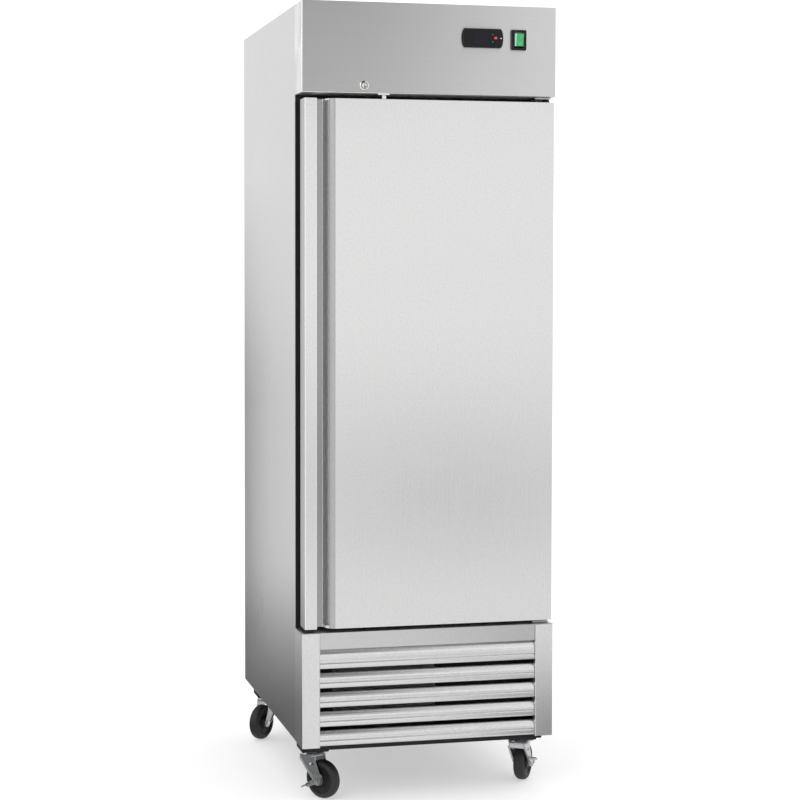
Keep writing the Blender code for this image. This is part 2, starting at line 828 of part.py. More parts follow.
def build_door():
    back = FRONT_Y + DOOR_BACK
    on_hinge = (HINGE[0], HINGE[1], 0.0)

    def from_hinge(loop):
        return [(u - HINGE[0], v - HINGE[1]) for u, v in loop]

    def span_from_hinge(u, v):
        return (u[0] - HINGE[0], u[1] - HINGE[0]), (v[0] - HINGE[1], v[1] - HINGE[1])

    skin = outline(
        "door_outer_panel",
        "stainless",
        "XY",
        [from_hinge(door_outline(back))],
        DOOR_BOTTOM,
        DOOR_TOP,
        origin=on_hinge,
    )
    hollow = outline(
        "door_hollow",
        None,
        "XY",
        [from_hinge(inset(door_outline(back + 0.01), SHEET))],
        DOOR_BOTTOM + SHEET,
        DOOR_TOP - SHEET,
        origin=on_hinge,
    )
    core_back = back - SHEET - 2 * GAP
    core = outline(
        "door_insulation",
        "foam",
        "XY",
        [from_hinge(inset(door_outline(core_back + SHEET + GAP), SHEET + GAP))],
        DOOR_BOTTOM + SHEET + GAP,
        DOOR_TOP - SHEET - GAP,
        origin=on_hinge,
    )
    pocket_x, pocket_y = span_from_hinge(
        span(BOLT_X - HALF, BOLT_WIDTH + 0.004),
        (FRONT_Y + BOLT_FRONT - 0.001, FRONT_Y + BOLT_FRONT + BOLT_THICK + 0.001),
    )
    pocket = box(
        "bolt_pocket",
        None,
        pocket_x,
        pocket_y,
        (DOOR_TOP - BOLT_TRAVEL - 0.002, DOOR_TOP + 0.01),
        origin=on_hinge,
    )
    reach = HINGE_PIN_LENGTH + 0.001
    sockets = []
    for place, low, high in (
        ("upper", DOOR_TOP - reach, DOOR_TOP + 0.01),
        ("lower", DOOR_BOTTOM - 0.01, DOOR_BOTTOM + reach),
    ):
        hole = [circle(0.0, 0.0, HINGE_PIN_RADIUS + 0.0007, 20)]
        sockets.append(outline(f"{place}_socket", None, "XY", hole, low, high, origin=on_hinge))
    cut(skin, hollow, pocket, *sockets)
    cut(core, pocket, *sockets)
    build_door_back(on_hinge, span_from_hinge)


def build_door_back(on_hinge, span_from_hinge):
    left, right = DOOR_LEFT, DOOR_LEFT + DOOR_WIDTH
    back = FRONT_Y + DOOR_BACK
    inner = SHEET + GAP
    x, y = span_from_hinge((left + inner, right - inner), (back - SHEET, back))
    z = (DOOR_BOTTOM + inner, DOOR_TOP - inner)
    panel = box("door_inner_panel", "aluminium", x, y, z, origin=on_hinge)
    pan_x, pan_y = span_from_hinge(
        (left + PAN_INSET, right - PAN_INSET), (back - SHEET / 2, back + PAN_RISE)
    )
    pan = box(
        "door_pan",
        None,
        pan_x,
        pan_y,
        (DOOR_BOTTOM + PAN_INSET, DOOR_TOP - PAN_INSET),
        origin=on_hinge,
    )
    fuse(panel, pan)
    loops = []
    for reach in (GASKET_INSET, GASKET_INSET + GASKET_WIDTH):
        u = (left + reach - HINGE[0], right - reach - HINGE[0])
        loops.append(rectangle(u, (DOOR_BOTTOM + reach, DOOR_TOP - reach)))
    outline(
        "door_gasket",
        "gasket_rubber",
        "XZ",
        loops,
        back + GAP - HINGE[1],
        FRONT_Y + GASKET_BACK - HINGE[1],
        origin=on_hinge,
    )


def build_hinges():
    """Each bracket is a plate with a collar that carries the door and a pin that enters it."""
    for place, side, door_edge, seat in (
        ("upper", -1, DOOR_TOP, HEADER_BOTTOM),
        ("lower", 1, DOOR_BOTTOM, BASE_TOP),
    ):
        plate = 0.004
        face = seat + side * GAP
        z = sorted((face, face + side * plate))
        bracket = box(
            f"{place}_hinge_bracket",
            "zinc",
            (HINGE[0] - 0.034, HINGE[0] + 0.012),
            (HINGE[1] - 0.012, BODY_Y - GAP),
            z,
        )
        inside = face + side * plate / 2
        collar_end = door_edge - side * 0.0008
        tip = door_edge + side * HINGE_PIN_LENGTH
        parts = []
        for name, radius, end in (("collar", 0.009, collar_end), ("pin", HINGE_PIN_RADIUS, tip)):
            loop = [circle(*HINGE, radius, 20)]
            parts.append(outline(f"{place}_{name}", None, "XY", loop, *sorted((inside, end))))
        fuse(bracket, *parts)


# Casters


def build_caster(name, side, depth, heading):
    axis = (side * (HALF - CASTER_INSET), FRONT_Y + depth, 0.0)
    turn = Matrix.Rotation(math.radians(heading), 4, "Z")
    plate_top = TRAY_BOTTOM - GAP
    race_top = 0.1245
    plate = box(
        f"caster_plate_{name}",
        "black_paint",
        span(0, 0.074),
        span(0, 0.074),
        (race_top, plate_top),
        origin=axis,
    )
    soften(plate, 0.003)
    race_loop = [circle(0, 0, 0.027)]
    race = outline(f"swivel_race_{name}", None, "XY", race_loop, 0.1188, race_top + 0.002, origin=axis)
    fuse(plate, race)
    build_fork(name, axis, turn)
    wheel = turned(f"caster_wheel_{name}", "wheel_rubber", wheel_profile(), steps=28, closed=True)
    axle = Vector(axis) + turn @ Vector((TRAIL, 0.0, WHEEL_RADIUS))
    wheel.matrix_world = Matrix.Translation(axle) @ turn @ Matrix.Rotation(math.radians(90), 4, "X")
    if name in PEDAL_ANGLES:
        build_pedal(name, axle, turn, PEDAL_ANGLES[name])


def wheel_profile():
    """Half of the wheel's section, then the same points mirrored, from the top rim down to the hub."""
    side = [
        (0.0064, 0.0165),
        (0.0170, 0.0165),
        (0.0190, 0.0120),
        (0.0340, 0.0110),
        (0.0380, 0.0155),
        (0.0460, 0.0150),
        (0.0495, 0.0115),
        (WHEEL_RADIUS, 0.0060),
    ]
    return side + [(radius, -height) for radius, height in reversed(side)]


def soften(obj, width, segments=2):
    bevel = obj.modifiers.new("soften", "BEVEL")
    bevel.width = width
    bevel.segments = segments
    bevel.limit_method = "ANGLE"
    return obj


def build_fork(name, axis, turn):
    """A crown under the swivel race, and two tapered legs down to the axle."""
    crown_top = 0.1182
    crown = [(0.0, crown_top), (0.0290, crown_top), (0.0310, 0.1150), (0.0310, 0.1105), (0.0, 0.1105)]
    fork = turned(f"caster_fork_{name}", "zinc", crown, axis, "Z", 28)
    fork.rotation_euler = turn.to_euler()
    end = 0.014
    foot = []
    for i in range(9):
        angle = math.radians(-170 + i * 20)
        foot.append((TRAIL + end * math.cos(angle), WHEEL_RADIUS + end * math.sin(angle)))
    leg = foot + [(0.026, 0.113), (-0.026, 0.113)]
    for side in (-1, 1):
        low, high = sorted((side * FORK_LEG[0], side * FORK_LEG[1]))
        piece = outline(f"fork_leg_{name}_{side}", None, "XZ", [leg], low, high)
        piece.data.transform(turn)
        piece.location = axis
        fuse(fork, piece)
    hub = [circle(TRAIL, WHEEL_RADIUS, 0.0060, 16)]
    axle = outline(f"fork_axle_{name}", None, "XZ", hub, -0.0260, 0.0260)
    axle.data.transform(turn)
    axle.location = axis
    fuse(fork, axle)


def build_pedal(name, axle, turn, angle):
    """A side brake lever on the axle's end: a boss, an arm, a bent pedal and a short release tab."""
    near, far = LEVER_PLANES
    boss = [circle(0.0, 0.0, 0.0125, 20)]
    lever = outline(f"brake_pedal_{name}", "zinc", "XZ", boss, near, far)
    arm = box(f"brake_arm_{name}", None, (-0.038, 0.0), (near, far), span(0, 0.014))
    pad = box(f"brake_pad_{name}", None, (-0.041, -0.026), (near - 0.019, far - 0.0002), span(0, 0.0180))
    tab = box(f"brake_tab_{name}", None, (0.0, 0.024), (near, far), (0.001, 0.011))
    swing = turn @ Matrix.Rotation(math.radians(angle), 4, "Y")
    for piece in (lever, arm, pad, tab):
        if piece is pad:
            piece.data.transform(Matrix.Diagonal((1.0, 1.0, 0.18, 1.0)))
        piece.data.transform(swing)
        piece.location = axle
    fuse(lever, arm, pad, tab)


def main():
    build_cabinet()
    build_header()
    build_controller()
    build_switch()
    build_lock()
    build_grille()
    build_machine_space()
    build_cold_space()
    build_door()
    build_hinges()
    for name, (side, depth, heading) in CASTERS.items():
        build_caster(name, side, depth, heading)


main()
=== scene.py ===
"""Looks for a single-door stainless reach-in refrigerator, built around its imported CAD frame.

Metres, +Z up, the front faces -Y. Each piece is a mesh gathered from a few kinds of form (blocks,
extruded outlines, folded sheets, turned profiles, tubes and lofts) and rides the body that it belongs to.
"""

import json
import math
from collections import namedtuple

import bmesh
import bpy
from mathutils import Matrix, Vector


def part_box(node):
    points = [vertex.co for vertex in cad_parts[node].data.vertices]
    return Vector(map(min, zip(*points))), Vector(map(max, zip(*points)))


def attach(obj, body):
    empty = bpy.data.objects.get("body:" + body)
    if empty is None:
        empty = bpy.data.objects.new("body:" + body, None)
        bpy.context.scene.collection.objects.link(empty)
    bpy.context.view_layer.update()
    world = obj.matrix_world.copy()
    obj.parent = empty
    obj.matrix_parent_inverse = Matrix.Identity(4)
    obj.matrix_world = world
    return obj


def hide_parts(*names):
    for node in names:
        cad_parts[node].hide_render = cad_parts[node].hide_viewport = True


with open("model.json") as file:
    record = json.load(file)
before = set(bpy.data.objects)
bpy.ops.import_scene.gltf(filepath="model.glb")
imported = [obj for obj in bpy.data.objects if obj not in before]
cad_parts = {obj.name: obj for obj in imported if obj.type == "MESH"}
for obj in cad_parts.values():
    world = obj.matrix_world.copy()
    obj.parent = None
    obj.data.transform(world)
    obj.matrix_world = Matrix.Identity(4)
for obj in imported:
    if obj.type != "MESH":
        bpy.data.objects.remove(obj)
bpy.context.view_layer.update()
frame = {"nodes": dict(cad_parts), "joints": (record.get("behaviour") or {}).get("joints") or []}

SHEET = 0.0012  # sheet metal
BEND = 0.0022  # outside radius of a folded edge
CLEAR = 0.0004

Span = namedtuple("Span", "x y z")
ORIGIN = Matrix.Identity(4)
FACING_FRONT = Matrix.Rotation(math.radians(90), 4, "X")  # turns +Z to -Y
FACING_BACK = Matrix.Rotation(math.radians(-90), 4, "X")


def cad(node):
    """The (low, high) pairs of a CAD node's box."""
    low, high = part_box(node)
    return Span(*zip(low, high))


def middle(pair):
    return (pair[0] + pair[1]) / 2


def around(centre, size):
    return (centre - size / 2, centre + size / 2)


def shrunk(pair, amount):
    return (pair[0] + amount, pair[1] - amount)


def at(x, y, z):
    return Matrix.Translation((x, y, z))


def spaced(low, high, count):
    """count values from low to high."""
    return [low + (high - low) * i / (count - 1) for i in range(count)]


# Flat outlines


def rectangle(u, v):
    return [(u[0], v[0]), (u[1], v[0]), (u[1], v[1]), (u[0], v[1])]


def circle(u, v, radius, steps=24, start=0.0):
    angles = [start + 2 * math.pi * i / steps for i in range(steps)]
    return [(u + radius * math.cos(a), v + radius * math.sin(a)) for a in angles]


def rounded(points, radius, steps=4, closed=True):
    """The same outline with an arc at each corner."""
    points = [Vector(p) for p in points]
    made = []
    for i, here in enumerate(points):
        if not closed and i in (0, len(points) - 1):
            made.append(here.copy())
            continue
        back = points[i - 1] - here
        ahead = points[(i + 1) % len(points)] - here
        angle = back.angle(ahead)
        if angle > math.radians(178):
            made.append(here.copy())
            continue
        reach = min(radius / math.tan(angle / 2), 0.49 * back.length, 0.49 * ahead.length)
        start, end = here + back.normalized() * reach, here + ahead.normalized() * reach
        for s in range(steps + 1):
            t = s / steps
            made.append(start * (1 - t) ** 2 + here * 2 * t * (1 - t) + end * t**2)
    return made


def offset(path, amount, closed=False):
    """Each point of a path moved to its left by amount."""
    path = [Vector(p) for p in path]
    moved = []
    for i, here in enumerate(path):
        sides = []
        if closed or i > 0:
            sides.append((here - path[i - 1]).normalized())
        if closed or i < len(path) - 1:
            sides.append((path[(i + 1) % len(path)] - here).normalized())
        normals = [Vector((-s.y, s.x)) for s in sides]
        across = sum(normals, Vector((0.0, 0.0))).normalized()
        moved.append(here + across * amount / across.dot(normals[0]))
    return moved


# Forms, each of which is a bmesh

PLANES = {
    "XY": lambda u, v, w: (u, v, w),
    "XZ": lambda u, v, w: (u, w, v),
    "YZ": lambda u, v, w: (w, u, v),
}


def soften(form, edge, segments=2, sharp=math.radians(30)):
    """Bevel the form's sharp edges."""
    if edge > 0:
        edges = [e for e in form.edges if len(e.link_faces) == 2 and e.calc_face_angle() > sharp]
        bmesh.ops.bevel(
            form,
            geom=edges,
            offset=edge,
            segments=segments,
            profile=0.5,
            affect="EDGES",
            clamp_overlap=True,
        )
    return form


def outward(form):
    bmesh.ops.recalc_face_normals(form, faces=form.faces)
    return form


def block(x, y, z, edge=0.0, segments=2):
    form = bmesh.new()
    bmesh.ops.create_cube(form, size=1.0)
    size = (x[1] - x[0], y[1] - y[0], z[1] - z[0])
    form.transform(at(middle(x), middle(y), middle(z)) @ Matrix.Diagonal((*size, 1.0)))
    return soften(form, edge, segments)


def extruded(plane, loops, low, high, edge=0.0, segments=2):
    """An outline, with holes for its further loops, drawn out from low to high across its plane."""
    form = bmesh.new()
    for loop in loops:
        verts = [form.verts.new(PLANES[plane](u, v, low)) for u, v in loop]
        for i, vert in enumerate(verts):
            form.edges.new((verts[i - 1], vert))
    bmesh.ops.triangle_fill(form, use_beauty=True, use_dissolve=True, edges=form.edges)
    lifted = bmesh.ops.extrude_face_region(form, geom=form.faces[:])["geom"]
    move = Vector(PLANES[plane](0.0, 0.0, high - low))
    bmesh.ops.translate(form, vec=move, verts=[g for g in lifted if isinstance(g, bmesh.types.BMVert)])
    return soften(outward(form), edge, segments)


def loft(rings, joined=False, caps=True):
    """A skin over rings of equal count. joined closes the last ring on the first, as round a frame."""
    form = bmesh.new()
    made = [[form.verts.new(p) for p in ring] for ring in rings]
    pairs = list(zip(made, made[1:] + made[:1])) if joined else list(zip(made, made[1:]))
    for near, far in pairs:
        for i in range(len(near)):
            j = (i + 1) % len(near)
            form.faces.new((near[i], near[j], far[j], far[i]))
    if caps and not joined:
        form.faces.new(made[0])
        form.faces.new(made[-1])
    return outward(form)


def folded(plane, path, low, high, thickness=SHEET, radius=BEND, steps=4):
    """A sheet bent along path, whose left side is the inside of the sheet, drawn out from low to high."""
    outer = rounded(path, radius, steps, closed=False)
    inner = offset(outer, thickness)
    strips = [
        [PLANES[plane](*p, w) for p in line]
        for line, w in ((outer, low), (inner, low), (inner, high), (outer, high))
    ]
    form = bmesh.new()
    rows = [[form.verts.new(p) for p in strip] for strip in strips]
    for near, far in zip(rows, rows[1:] + rows[:1]):
        for i in range(len(near) - 1):
            form.faces.new((near[i], near[i + 1], far[i + 1], far[i]))
    for end in (0, -1):
        form.faces.new([row[end] for row in rows])
    return outward(form)


def turned(profile, steps=32, closed=False):
    """A profile of (radius, height) points turned about Z."""
    form = bmesh.new()
    verts = [form.verts.new((r, 0.0, h)) for r, h in profile]
    edges = [form.edges.new(pair) for pair in zip(verts, verts[1:])]
    if closed:
        edges.append(form.edges.new((verts[-1], verts[0])))
    bmesh.ops.spin(
        form,
        geom=verts + edges,
        axis=(0, 0, 1),
        cent=(0, 0, 0),
        angle=2 * math.pi,
        steps=steps,
        use_merge=True,
    )
    bmesh.ops.remove_doubles(form, verts=form.verts, dist=1e-6)
    return outward(form)


def tube(path, radius, steps=8, closed=False):
    """A round bar along a path."""
    path = [Vector(p) for p in path]
    count = len(path)
    tangents = []
    for i in range(count):
        before = path[i - 1] if closed or i > 0 else path[i]
        after = path[(i + 1) % count] if closed or i < count - 1 else path[i]
        tangents.append((after - before).normalized())
    side = tangents[0].orthogonal().normalized()
    rings = []
    for here, tangent in zip(path, tangents):
        side = (side - tangent * side.dot(tangent)).normalized()
        other = tangent.cross(side)
        rings.append([here + side * u + other * v for u, v in circle(0, 0, radius, steps)])
    return loft(rings, joined=closed)


def carved(form, *cutters):
    """The form with the cutters taken out of it."""
    spare = []
    for shape in (form, *cutters):
        mesh = bpy.data.meshes.new("spare")
        outward(shape).to_mesh(mesh)
        shape.free()
        spare.append(bpy.data.objects.new("spare", mesh))
        bpy.context.scene.collection.objects.link(spare[-1])
    for cutter in spare[1:]:
        step = spare[0].modifiers.new("cut", "BOOLEAN")
        step.operation = "DIFFERENCE"
        step.solver = "EXACT"
        step.object = cutter
    graph = bpy.context.evaluated_depsgraph_get()
    made = bmesh.new()
    made.from_object(spare[0], graph)
    for obj in spare:
        mesh = obj.data
        bpy.data.objects.remove(obj)
        bpy.data.meshes.remove(mesh)
    return made


class Piece:
    """A named mesh gathered from forms, each with its own material."""

    def __init__(self, name):
        self.name = name
        self.bm = bmesh.new()
        self.finishes = []

    def add(self, form, finish, turn=ORIGIN):
        if finish not in self.finishes:
            self.finishes.append(finish)
        index = self.finishes.index(finish)
        for face in form.faces:
            face.material_index = index
        form.transform(turn)
        spare = bpy.data.meshes.new("spare")
        form.to_mesh(spare)
        form.free()
        self.bm.from_mesh(spare)
        bpy.data.meshes.remove(spare)
        return self

    def repaint(self, finish, test):
        """Give another finish to the faces whose middle and normal pass a test."""
        self.finishes.append(finish)
        self.bm.normal_update()
        for face in self.bm.faces:
            if test(face.calc_center_median(), face.normal):
                face.material_index = len(self.finishes) - 1

    def place(self, body, slot, *nodes, crease=35):
        """Make the object, let it ride its body, and have it stand for the CAD nodes."""
        for face in self.bm.faces:
            face.smooth = True
        for edge in self.bm.edges:
            flat = len(edge.link_faces) == 2 and edge.calc_face_angle() < math.radians(crease)
            edge.smooth = flat
        mesh = bpy.data.meshes.new(self.name)
        self.bm.to_mesh(mesh)
        self.bm.free()
        for finish in self.finishes:
            mesh.materials.append(MATERIALS[finish])
        obj = bpy.data.objects.new(self.name, mesh)
        bpy.context.scene.collection.objects.link(obj)
        normals = obj.modifiers.new("normals", "WEIGHTED_NORMAL")
        normals.keep_sharp = True
        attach(obj, body)
        if nodes:
            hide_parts(*nodes)
        return obj


# Materials

MATERIALS = {}


class Surface:
    """A Principled material that is varied by layers of noise in the object's own coordinates."""

    def __init__(self, name, colour, roughness, metallic=0.0, **uniform):
        self.material = bpy.data.materials.new(name)
        self.material.use_nodes = True
        self.nodes = self.material.node_tree.nodes
        self.links = self.material.node_tree.links
        self.shader = self.nodes["Principled BSDF"]
        self.shader.inputs["Base Color"].default_value = (*colour, 1.0)
        self.shader.inputs["Roughness"].default_value = roughness
        self.shader.inputs["Metallic"].default_value = metallic
        for socket, value in uniform.items():
            self.shader.inputs[socket.replace("_", " ").title().replace("Ior", "IOR")].default_value = value
        self.place = self.nodes.new("ShaderNodeTexCoord").outputs["Object"]
        MATERIALS[name] = self.material

    def noise(self, scale, detail=2.0, stretch=(1.0, 1.0, 1.0), roughness=0.5):
        mapping = self.nodes.new("ShaderNodeMapping")
        mapping.inputs["Scale"].default_value = stretch
        self.links.new(self.place, mapping.inputs["Vector"])
        noise = self.nodes.new("ShaderNodeTexNoise")
        noise.inputs["Scale"].default_value = scale
        noise.inputs["Detail"].default_value = detail
        noise.inputs["Roughness"].default_value = roughness
        self.links.new(mapping.outputs["Vector"], noise.inputs["Vector"])
        return noise.outputs["Fac"]

    def between(self, value, low, high, start=0.3, end=0.7):
        spread = self.nodes.new("ShaderNodeMapRange")
        for socket, number in zip(("From Min", "From Max", "To Min", "To Max"), (start, end, low, high)):
            spread.inputs[socket].default_value = number
        self.links.new(value, spread.inputs["Value"])
        return spread.outputs["Result"]

    def mix(self, value, dark, light):
        """A colour from dark to light as value goes from 0 to 1. Each may be a colour or a socket."""
        mix = self.nodes.new("ShaderNodeMix")
        mix.data_type = "RGBA"
        for socket, colour in ((mix.inputs["A"], dark), (mix.inputs["B"], light)):
            if isinstance(colour, tuple):
                socket.default_value = (*colour, 1.0)
            else:
                self.links.new(colour, socket)
        self.links.new(value, mix.inputs["Factor"])
        return mix.outputs["Result"]

    def tint(self, value, dark, light):
        self.colour = self.mix(value, dark, light)
        self.links.new(self.colour, self.shader.inputs["Base Color"])

    def wear(self, colour, amount=0.6, patches=60.0):
        """Show another colour along the convex edges, broken up by patches of noise."""
        edges = self.between(
            self.nodes.new("ShaderNodeNewGeometry").outputs["Pointiness"], 0.0, amount, 0.53, 0.60
        )
        broken = self.product(edges, self.between(self.noise(patches, 3.0), 0.1, 1.0))
        self.tint(broken, self.colour, colour)

    def grain_across(self, axis):
        """Stretch the reflections round an axis, as brush marks along that axis do."""
        tangent = self.nodes.new("ShaderNodeTangent")
        tangent.direction_type = "RADIAL"
        tangent.axis = axis
        self.links.new(tangent.outputs["Tangent"], self.shader.inputs["Tangent"])

    def roughen(self, value):
        self.links.new(value, self.shader.inputs["Roughness"])

    def bump(self, value, strength, depth):
        bump = self.nodes.new("ShaderNodeBump")
        bump.inputs["Strength"].default_value = strength
        bump.inputs["Distance"].default_value = depth
        self.links.new(value, bump.inputs["Height"])
        self.links.new(bump.outputs["Normal"], self.shader.inputs["Normal"])

    def combine(self, operation, first, second):
        step = self.nodes.new("ShaderNodeMath")
        step.operation = operation
        self.links.new(first, step.inputs[0])
        self.links.new(second, step.inputs[1])
        return step.outputs["Value"]

    def sum(self, first, second):
        return self.combine("ADD", first, second)

    def product(self, first, second):
        return self.combine("MULTIPLY", first, second)


def shade(colour, amount):
    return tuple(min(1.0, c * amount) for c in colour)


UPRIGHT, LEVEL = "Z", "X"  # brush marks that run up the sheet, and across it
MARKS_ALONG, MARKS_ACROSS = 3.0, 900.0  # how many noise cells there are to a metre, each way


def brushed(name, colour, roughness, grain, contrast=0.02, anisotropic=0.8):
    """Brushed sheet: fine streaks along the grain, over broad and faint smears, with polished edges."""
    surface = Surface(name, colour, roughness, 1.0, anisotropic=anisotropic)
    surface.grain_across(grain)
    stretch = [MARKS_ACROSS] * 3
    stretch["XYZ".index(grain)] = MARKS_ALONG
    streaks = surface.noise(1.0, 3.0, stretch, 0.6)
    smears = surface.noise(2.3, 3.0)
    surface.tint(
        surface.between(streaks, 0.0, 1.0), shade(colour, 1 - contrast), shade(colour, 1 + contrast)
    )
    surface.wear(shade(colour, 1.18), 0.7, 200.0)
    grain_roughness = surface.between(streaks, roughness - 0.02, roughness + 0.02)
    surface.roughen(surface.sum(grain_roughness, surface.between(smears, -0.02, 0.02)))
    surface.bump(streaks, 0.05, 0.00001)


def metal(name, colour, roughness, spangle=0.06, scale=260.0):
    """Plated or rolled metal with a faint grain of its own and brighter edges."""
    surface = Surface(name, colour, roughness, 1.0)
    patches = surface.noise(scale, 2.0)
    surface.tint(surface.between(patches, 0.0, 1.0), shade(colour, 1 - spangle), shade(colour, 1 + spangle))
    surface.wear(shade(colour, 1.2))
    surface.roughen(surface.between(patches, roughness - 0.06, roughness + 0.08))
    surface.bump(surface.noise(scale * 2.5, 2.0), 0.15, 0.00003)


def moulded(name, colour, roughness, texture=900.0, depth=0.00004, rubbed=None, **uniform):
    """Moulded plastic or paint with a fine stipple, uneven gloss, and rubbed edges."""
    surface = Surface(name, colour, roughness, 0.0, **uniform)
    clouds = surface.noise(14.0, 3.0)
    surface.tint(surface.between(clouds, 0.0, 1.0), shade(colour, 0.85), shade(colour, 1.2))
    surface.wear(rubbed or shade(colour, 1.8), 0.5)
    surface.roughen(surface.between(clouds, roughness - 0.05, roughness + 0.07))
    surface.bump(surface.noise(texture, 2.0), 0.3, depth)


def dusty(name, colour, dust, roughness):
    """Rubber with a dusty bloom on it that is thicker where it rubs."""
    surface = Surface(name, colour, roughness)
    bloom = surface.sum(surface.noise(30.0, 4.0), surface.between(surface.noise(400.0, 2.0), -0.1, 0.1))
    surface.tint(surface.between(bloom, 0.0, 1.0, 0.4, 0.85), colour, dust)
    surface.wear(shade(dust, 1.3), 0.6, 120.0)
    surface.roughen(surface.between(bloom, roughness, roughness + 0.2))
    surface.bump(surface.noise(1100.0, 2.0), 0.35, 0.00006)


def make_materials():
    bare = (0.30, 0.30, 0.31)
    brushed("side_steel", (0.47, 0.47, 0.468), 0.30, UPRIGHT)
    brushed("door_steel", (0.565, 0.565, 0.563), 0.28, UPRIGHT, 0.010)
    # The next three are darker and lighter copies of the door steel: painted shade for the handle channel
    # and the door's edge, painted highlight for folds and bevels
    brushed("shaded_channel_steel", (0.27, 0.27, 0.27), 0.24, UPRIGHT)
    brushed("shaded_wall_steel", (0.36, 0.36, 0.36), 0.30, UPRIGHT, 0.010)
    brushed("highlight_steel", (0.82, 0.82, 0.82), 0.20, UPRIGHT, 0.010, 0.0)
    brushed("header_steel", (0.60, 0.60, 0.598), 0.40, LEVEL, 0.03, 0.9)
    brushed("level_steel", (0.50, 0.50, 0.498), 0.32, LEVEL)
    brushed("blade_steel", (0.57, 0.57, 0.568), 0.24, LEVEL, 0.005, 0.0)
    metal("aluminium", (0.66, 0.67, 0.68), 0.40, 0.04, 60.0)
    metal("zinc", (0.47, 0.475, 0.485), 0.32, 0.04)
    metal("nickel", (0.66, 0.65, 0.63), 0.20, 0.03)
    metal("fins", (0.60, 0.62, 0.64), 0.42)
    metal("copper", (0.72, 0.36, 0.22), 0.30, 0.12)
    moulded("black_frame", (0.009, 0.009, 0.009), 0.50, specular_ior_level=0.2)
    moulded(
        "black_paint",
        (0.007, 0.007, 0.008),
        0.50,
        320.0,
        rubbed=(0.05, 0.05, 0.052),
        specular_ior_level=0.2,
    )
    moulded("compressor_paint", (0.018, 0.018, 0.020), 0.34, 240.0, 0.00008, rubbed=bare)
    moulded("controller_black", (0.010, 0.010, 0.011), 0.42, specular_ior_level=0.15)
    moulded("glass_black", (0.004, 0.004, 0.008), 0.14, 60.0, 0.000005, specular_ior_level=0.2)
    moulded("mark_grey", (0.16, 0.165, 0.17), 0.50)
    moulded("mark_dim", (0.40, 0.42, 0.42), 0.50)
    moulded("lamp_red", (0.58, 0.045, 0.025), 0.25)
    moulded("rocker_green", (0.022, 0.27, 0.075), 0.22, 60.0, 0.00001, coat_weight=0.3)
    # A pale cyan strip on the rocker's left side: a painted highlight
    moulded("rocker_highlight", (0.24, 0.50, 0.44), 0.25, 60.0, 0.00001)
    # A lighter grey for the switch frame's left end: a painted highlight
    moulded("switch_highlight", (0.045, 0.045, 0.047), 0.45, specular_ior_level=0.3)
    moulded("fan_black", (0.020, 0.020, 0.023), 0.45)
    moulded("hub_grey", (0.012, 0.012, 0.013), 0.45, specular_ior_level=0.2)
    moulded("shelf_white", (0.80, 0.81, 0.81), 0.34, 500.0)
    moulded("foam", (0.80, 0.70, 0.45), 0.90, 160.0, 0.0006)
    dusty("gasket_rubber", (0.050, 0.050, 0.052), (0.11, 0.11, 0.11), 0.62)
    dusty("tyre_rubber", (0.006, 0.006, 0.007), (0.014, 0.014, 0.013), 0.50)


# Small parts that many pieces share


SCREW_HEADS = {}


def screw(piece, place, facing, radius=0.0035, finish="zinc"):
    """A pan-head screw with a cross recess, its head standing on place."""
    if radius not in SCREW_HEADS:
        head = [(0.0, 0.48), (0.45, 0.42), (0.85, 0.22), (1.0, 0.0), (1.0, -0.05), (0.0, -0.05)]
        arms = [
            block(around(0, radius * a), around(0, radius * b), (radius * 0.25, radius))
            for a, b in ((1.0, 0.2), (0.2, 1.0))
        ]
        SCREW_HEADS[radius] = carved(turned([(r * radius, h * radius) for r, h in head], 16), *arms)
    piece.add(SCREW_HEADS[radius].copy(), finish, at(*place) @ facing)


def rivet(piece, place, facing, radius=0.0025, finish="zinc"):
    head = [(0.0, 0.5), (0.5, 0.42), (0.87, 0.2), (1.0, 0.0), (0.0, 0.0)]
    piece.add(turned([(r * radius, h * radius) for r, h in head], 12), finish, at(*place) @ facing)


def hexagon(across, height, chamfer=0.0004):
    """A hexagonal nut or bolt head on the XY plane."""
    return extruded("XY", [circle(0, 0, across / math.sqrt(3), 6)], 0.0, height, chamfer, 2)


def frame_ring(x, z, inset, radius, y, steps=4):
    """A rounded rectangle at the depth y, inset from the given edges; negative insets grow it."""
    loop = rounded(rectangle(shrunk(x, inset), shrunk(z, inset)), max(radius - inset, 0.0008), steps)
    return [(u, y, v) for u, v in loop]


# Cabinet body

LINER = 0.0012
LINER_COVE = 0.010
MOUTH_X = shrunk(cad("inner_liner").x, LINER)
MOUTH_Z = (cad("inner_liner").z[0] + LINER, cad("evaporator_cover").z[0] - 0.0165)


def build_side_panels():
    for side, sign in (("left", -1), ("right", 1)):
        node = cad(f"side_panel_{side}")
        outer = sign * max(abs(v) for v in node.x)
        flange = sign * min(abs(v) for v in node.x)
        path = [(flange, node.z[0]), (outer, node.z[0]), (outer, node.z[1]), (flange, node.z[1])]
        if sign < 0:
            path.reverse()
        piece = Piece(f"side_sheet_{side}")
        piece.add(folded("XZ", path, *node.y), "side_steel")
        hem = sorted((outer - sign * 0.014, outer - sign * SHEET))
        piece.add(block(hem, (node.y[1] - SHEET, node.y[1]), shrunk(node.z, 0.003), 0.0004), "side_steel")
        piece.place("cabinet", "stainless", f"side_panel_{side}")


def build_top_panel():
    node = cad("top_panel")
    surface = node.z[1] - SHEET - CLEAR
    piece = Piece("top_sheet")
    piece.add(block(node.x, node.y, (surface - SHEET, surface), 0.0004), "level_steel")
    for x in spaced(*shrunk(node.x, 0.050), 4):
        for y in spaced(*shrunk(node.y, 0.030), 4):
            screw(piece, (x, y, surface), ORIGIN, 0.0030)
    piece.place("cabinet", "stainless", "top_panel")


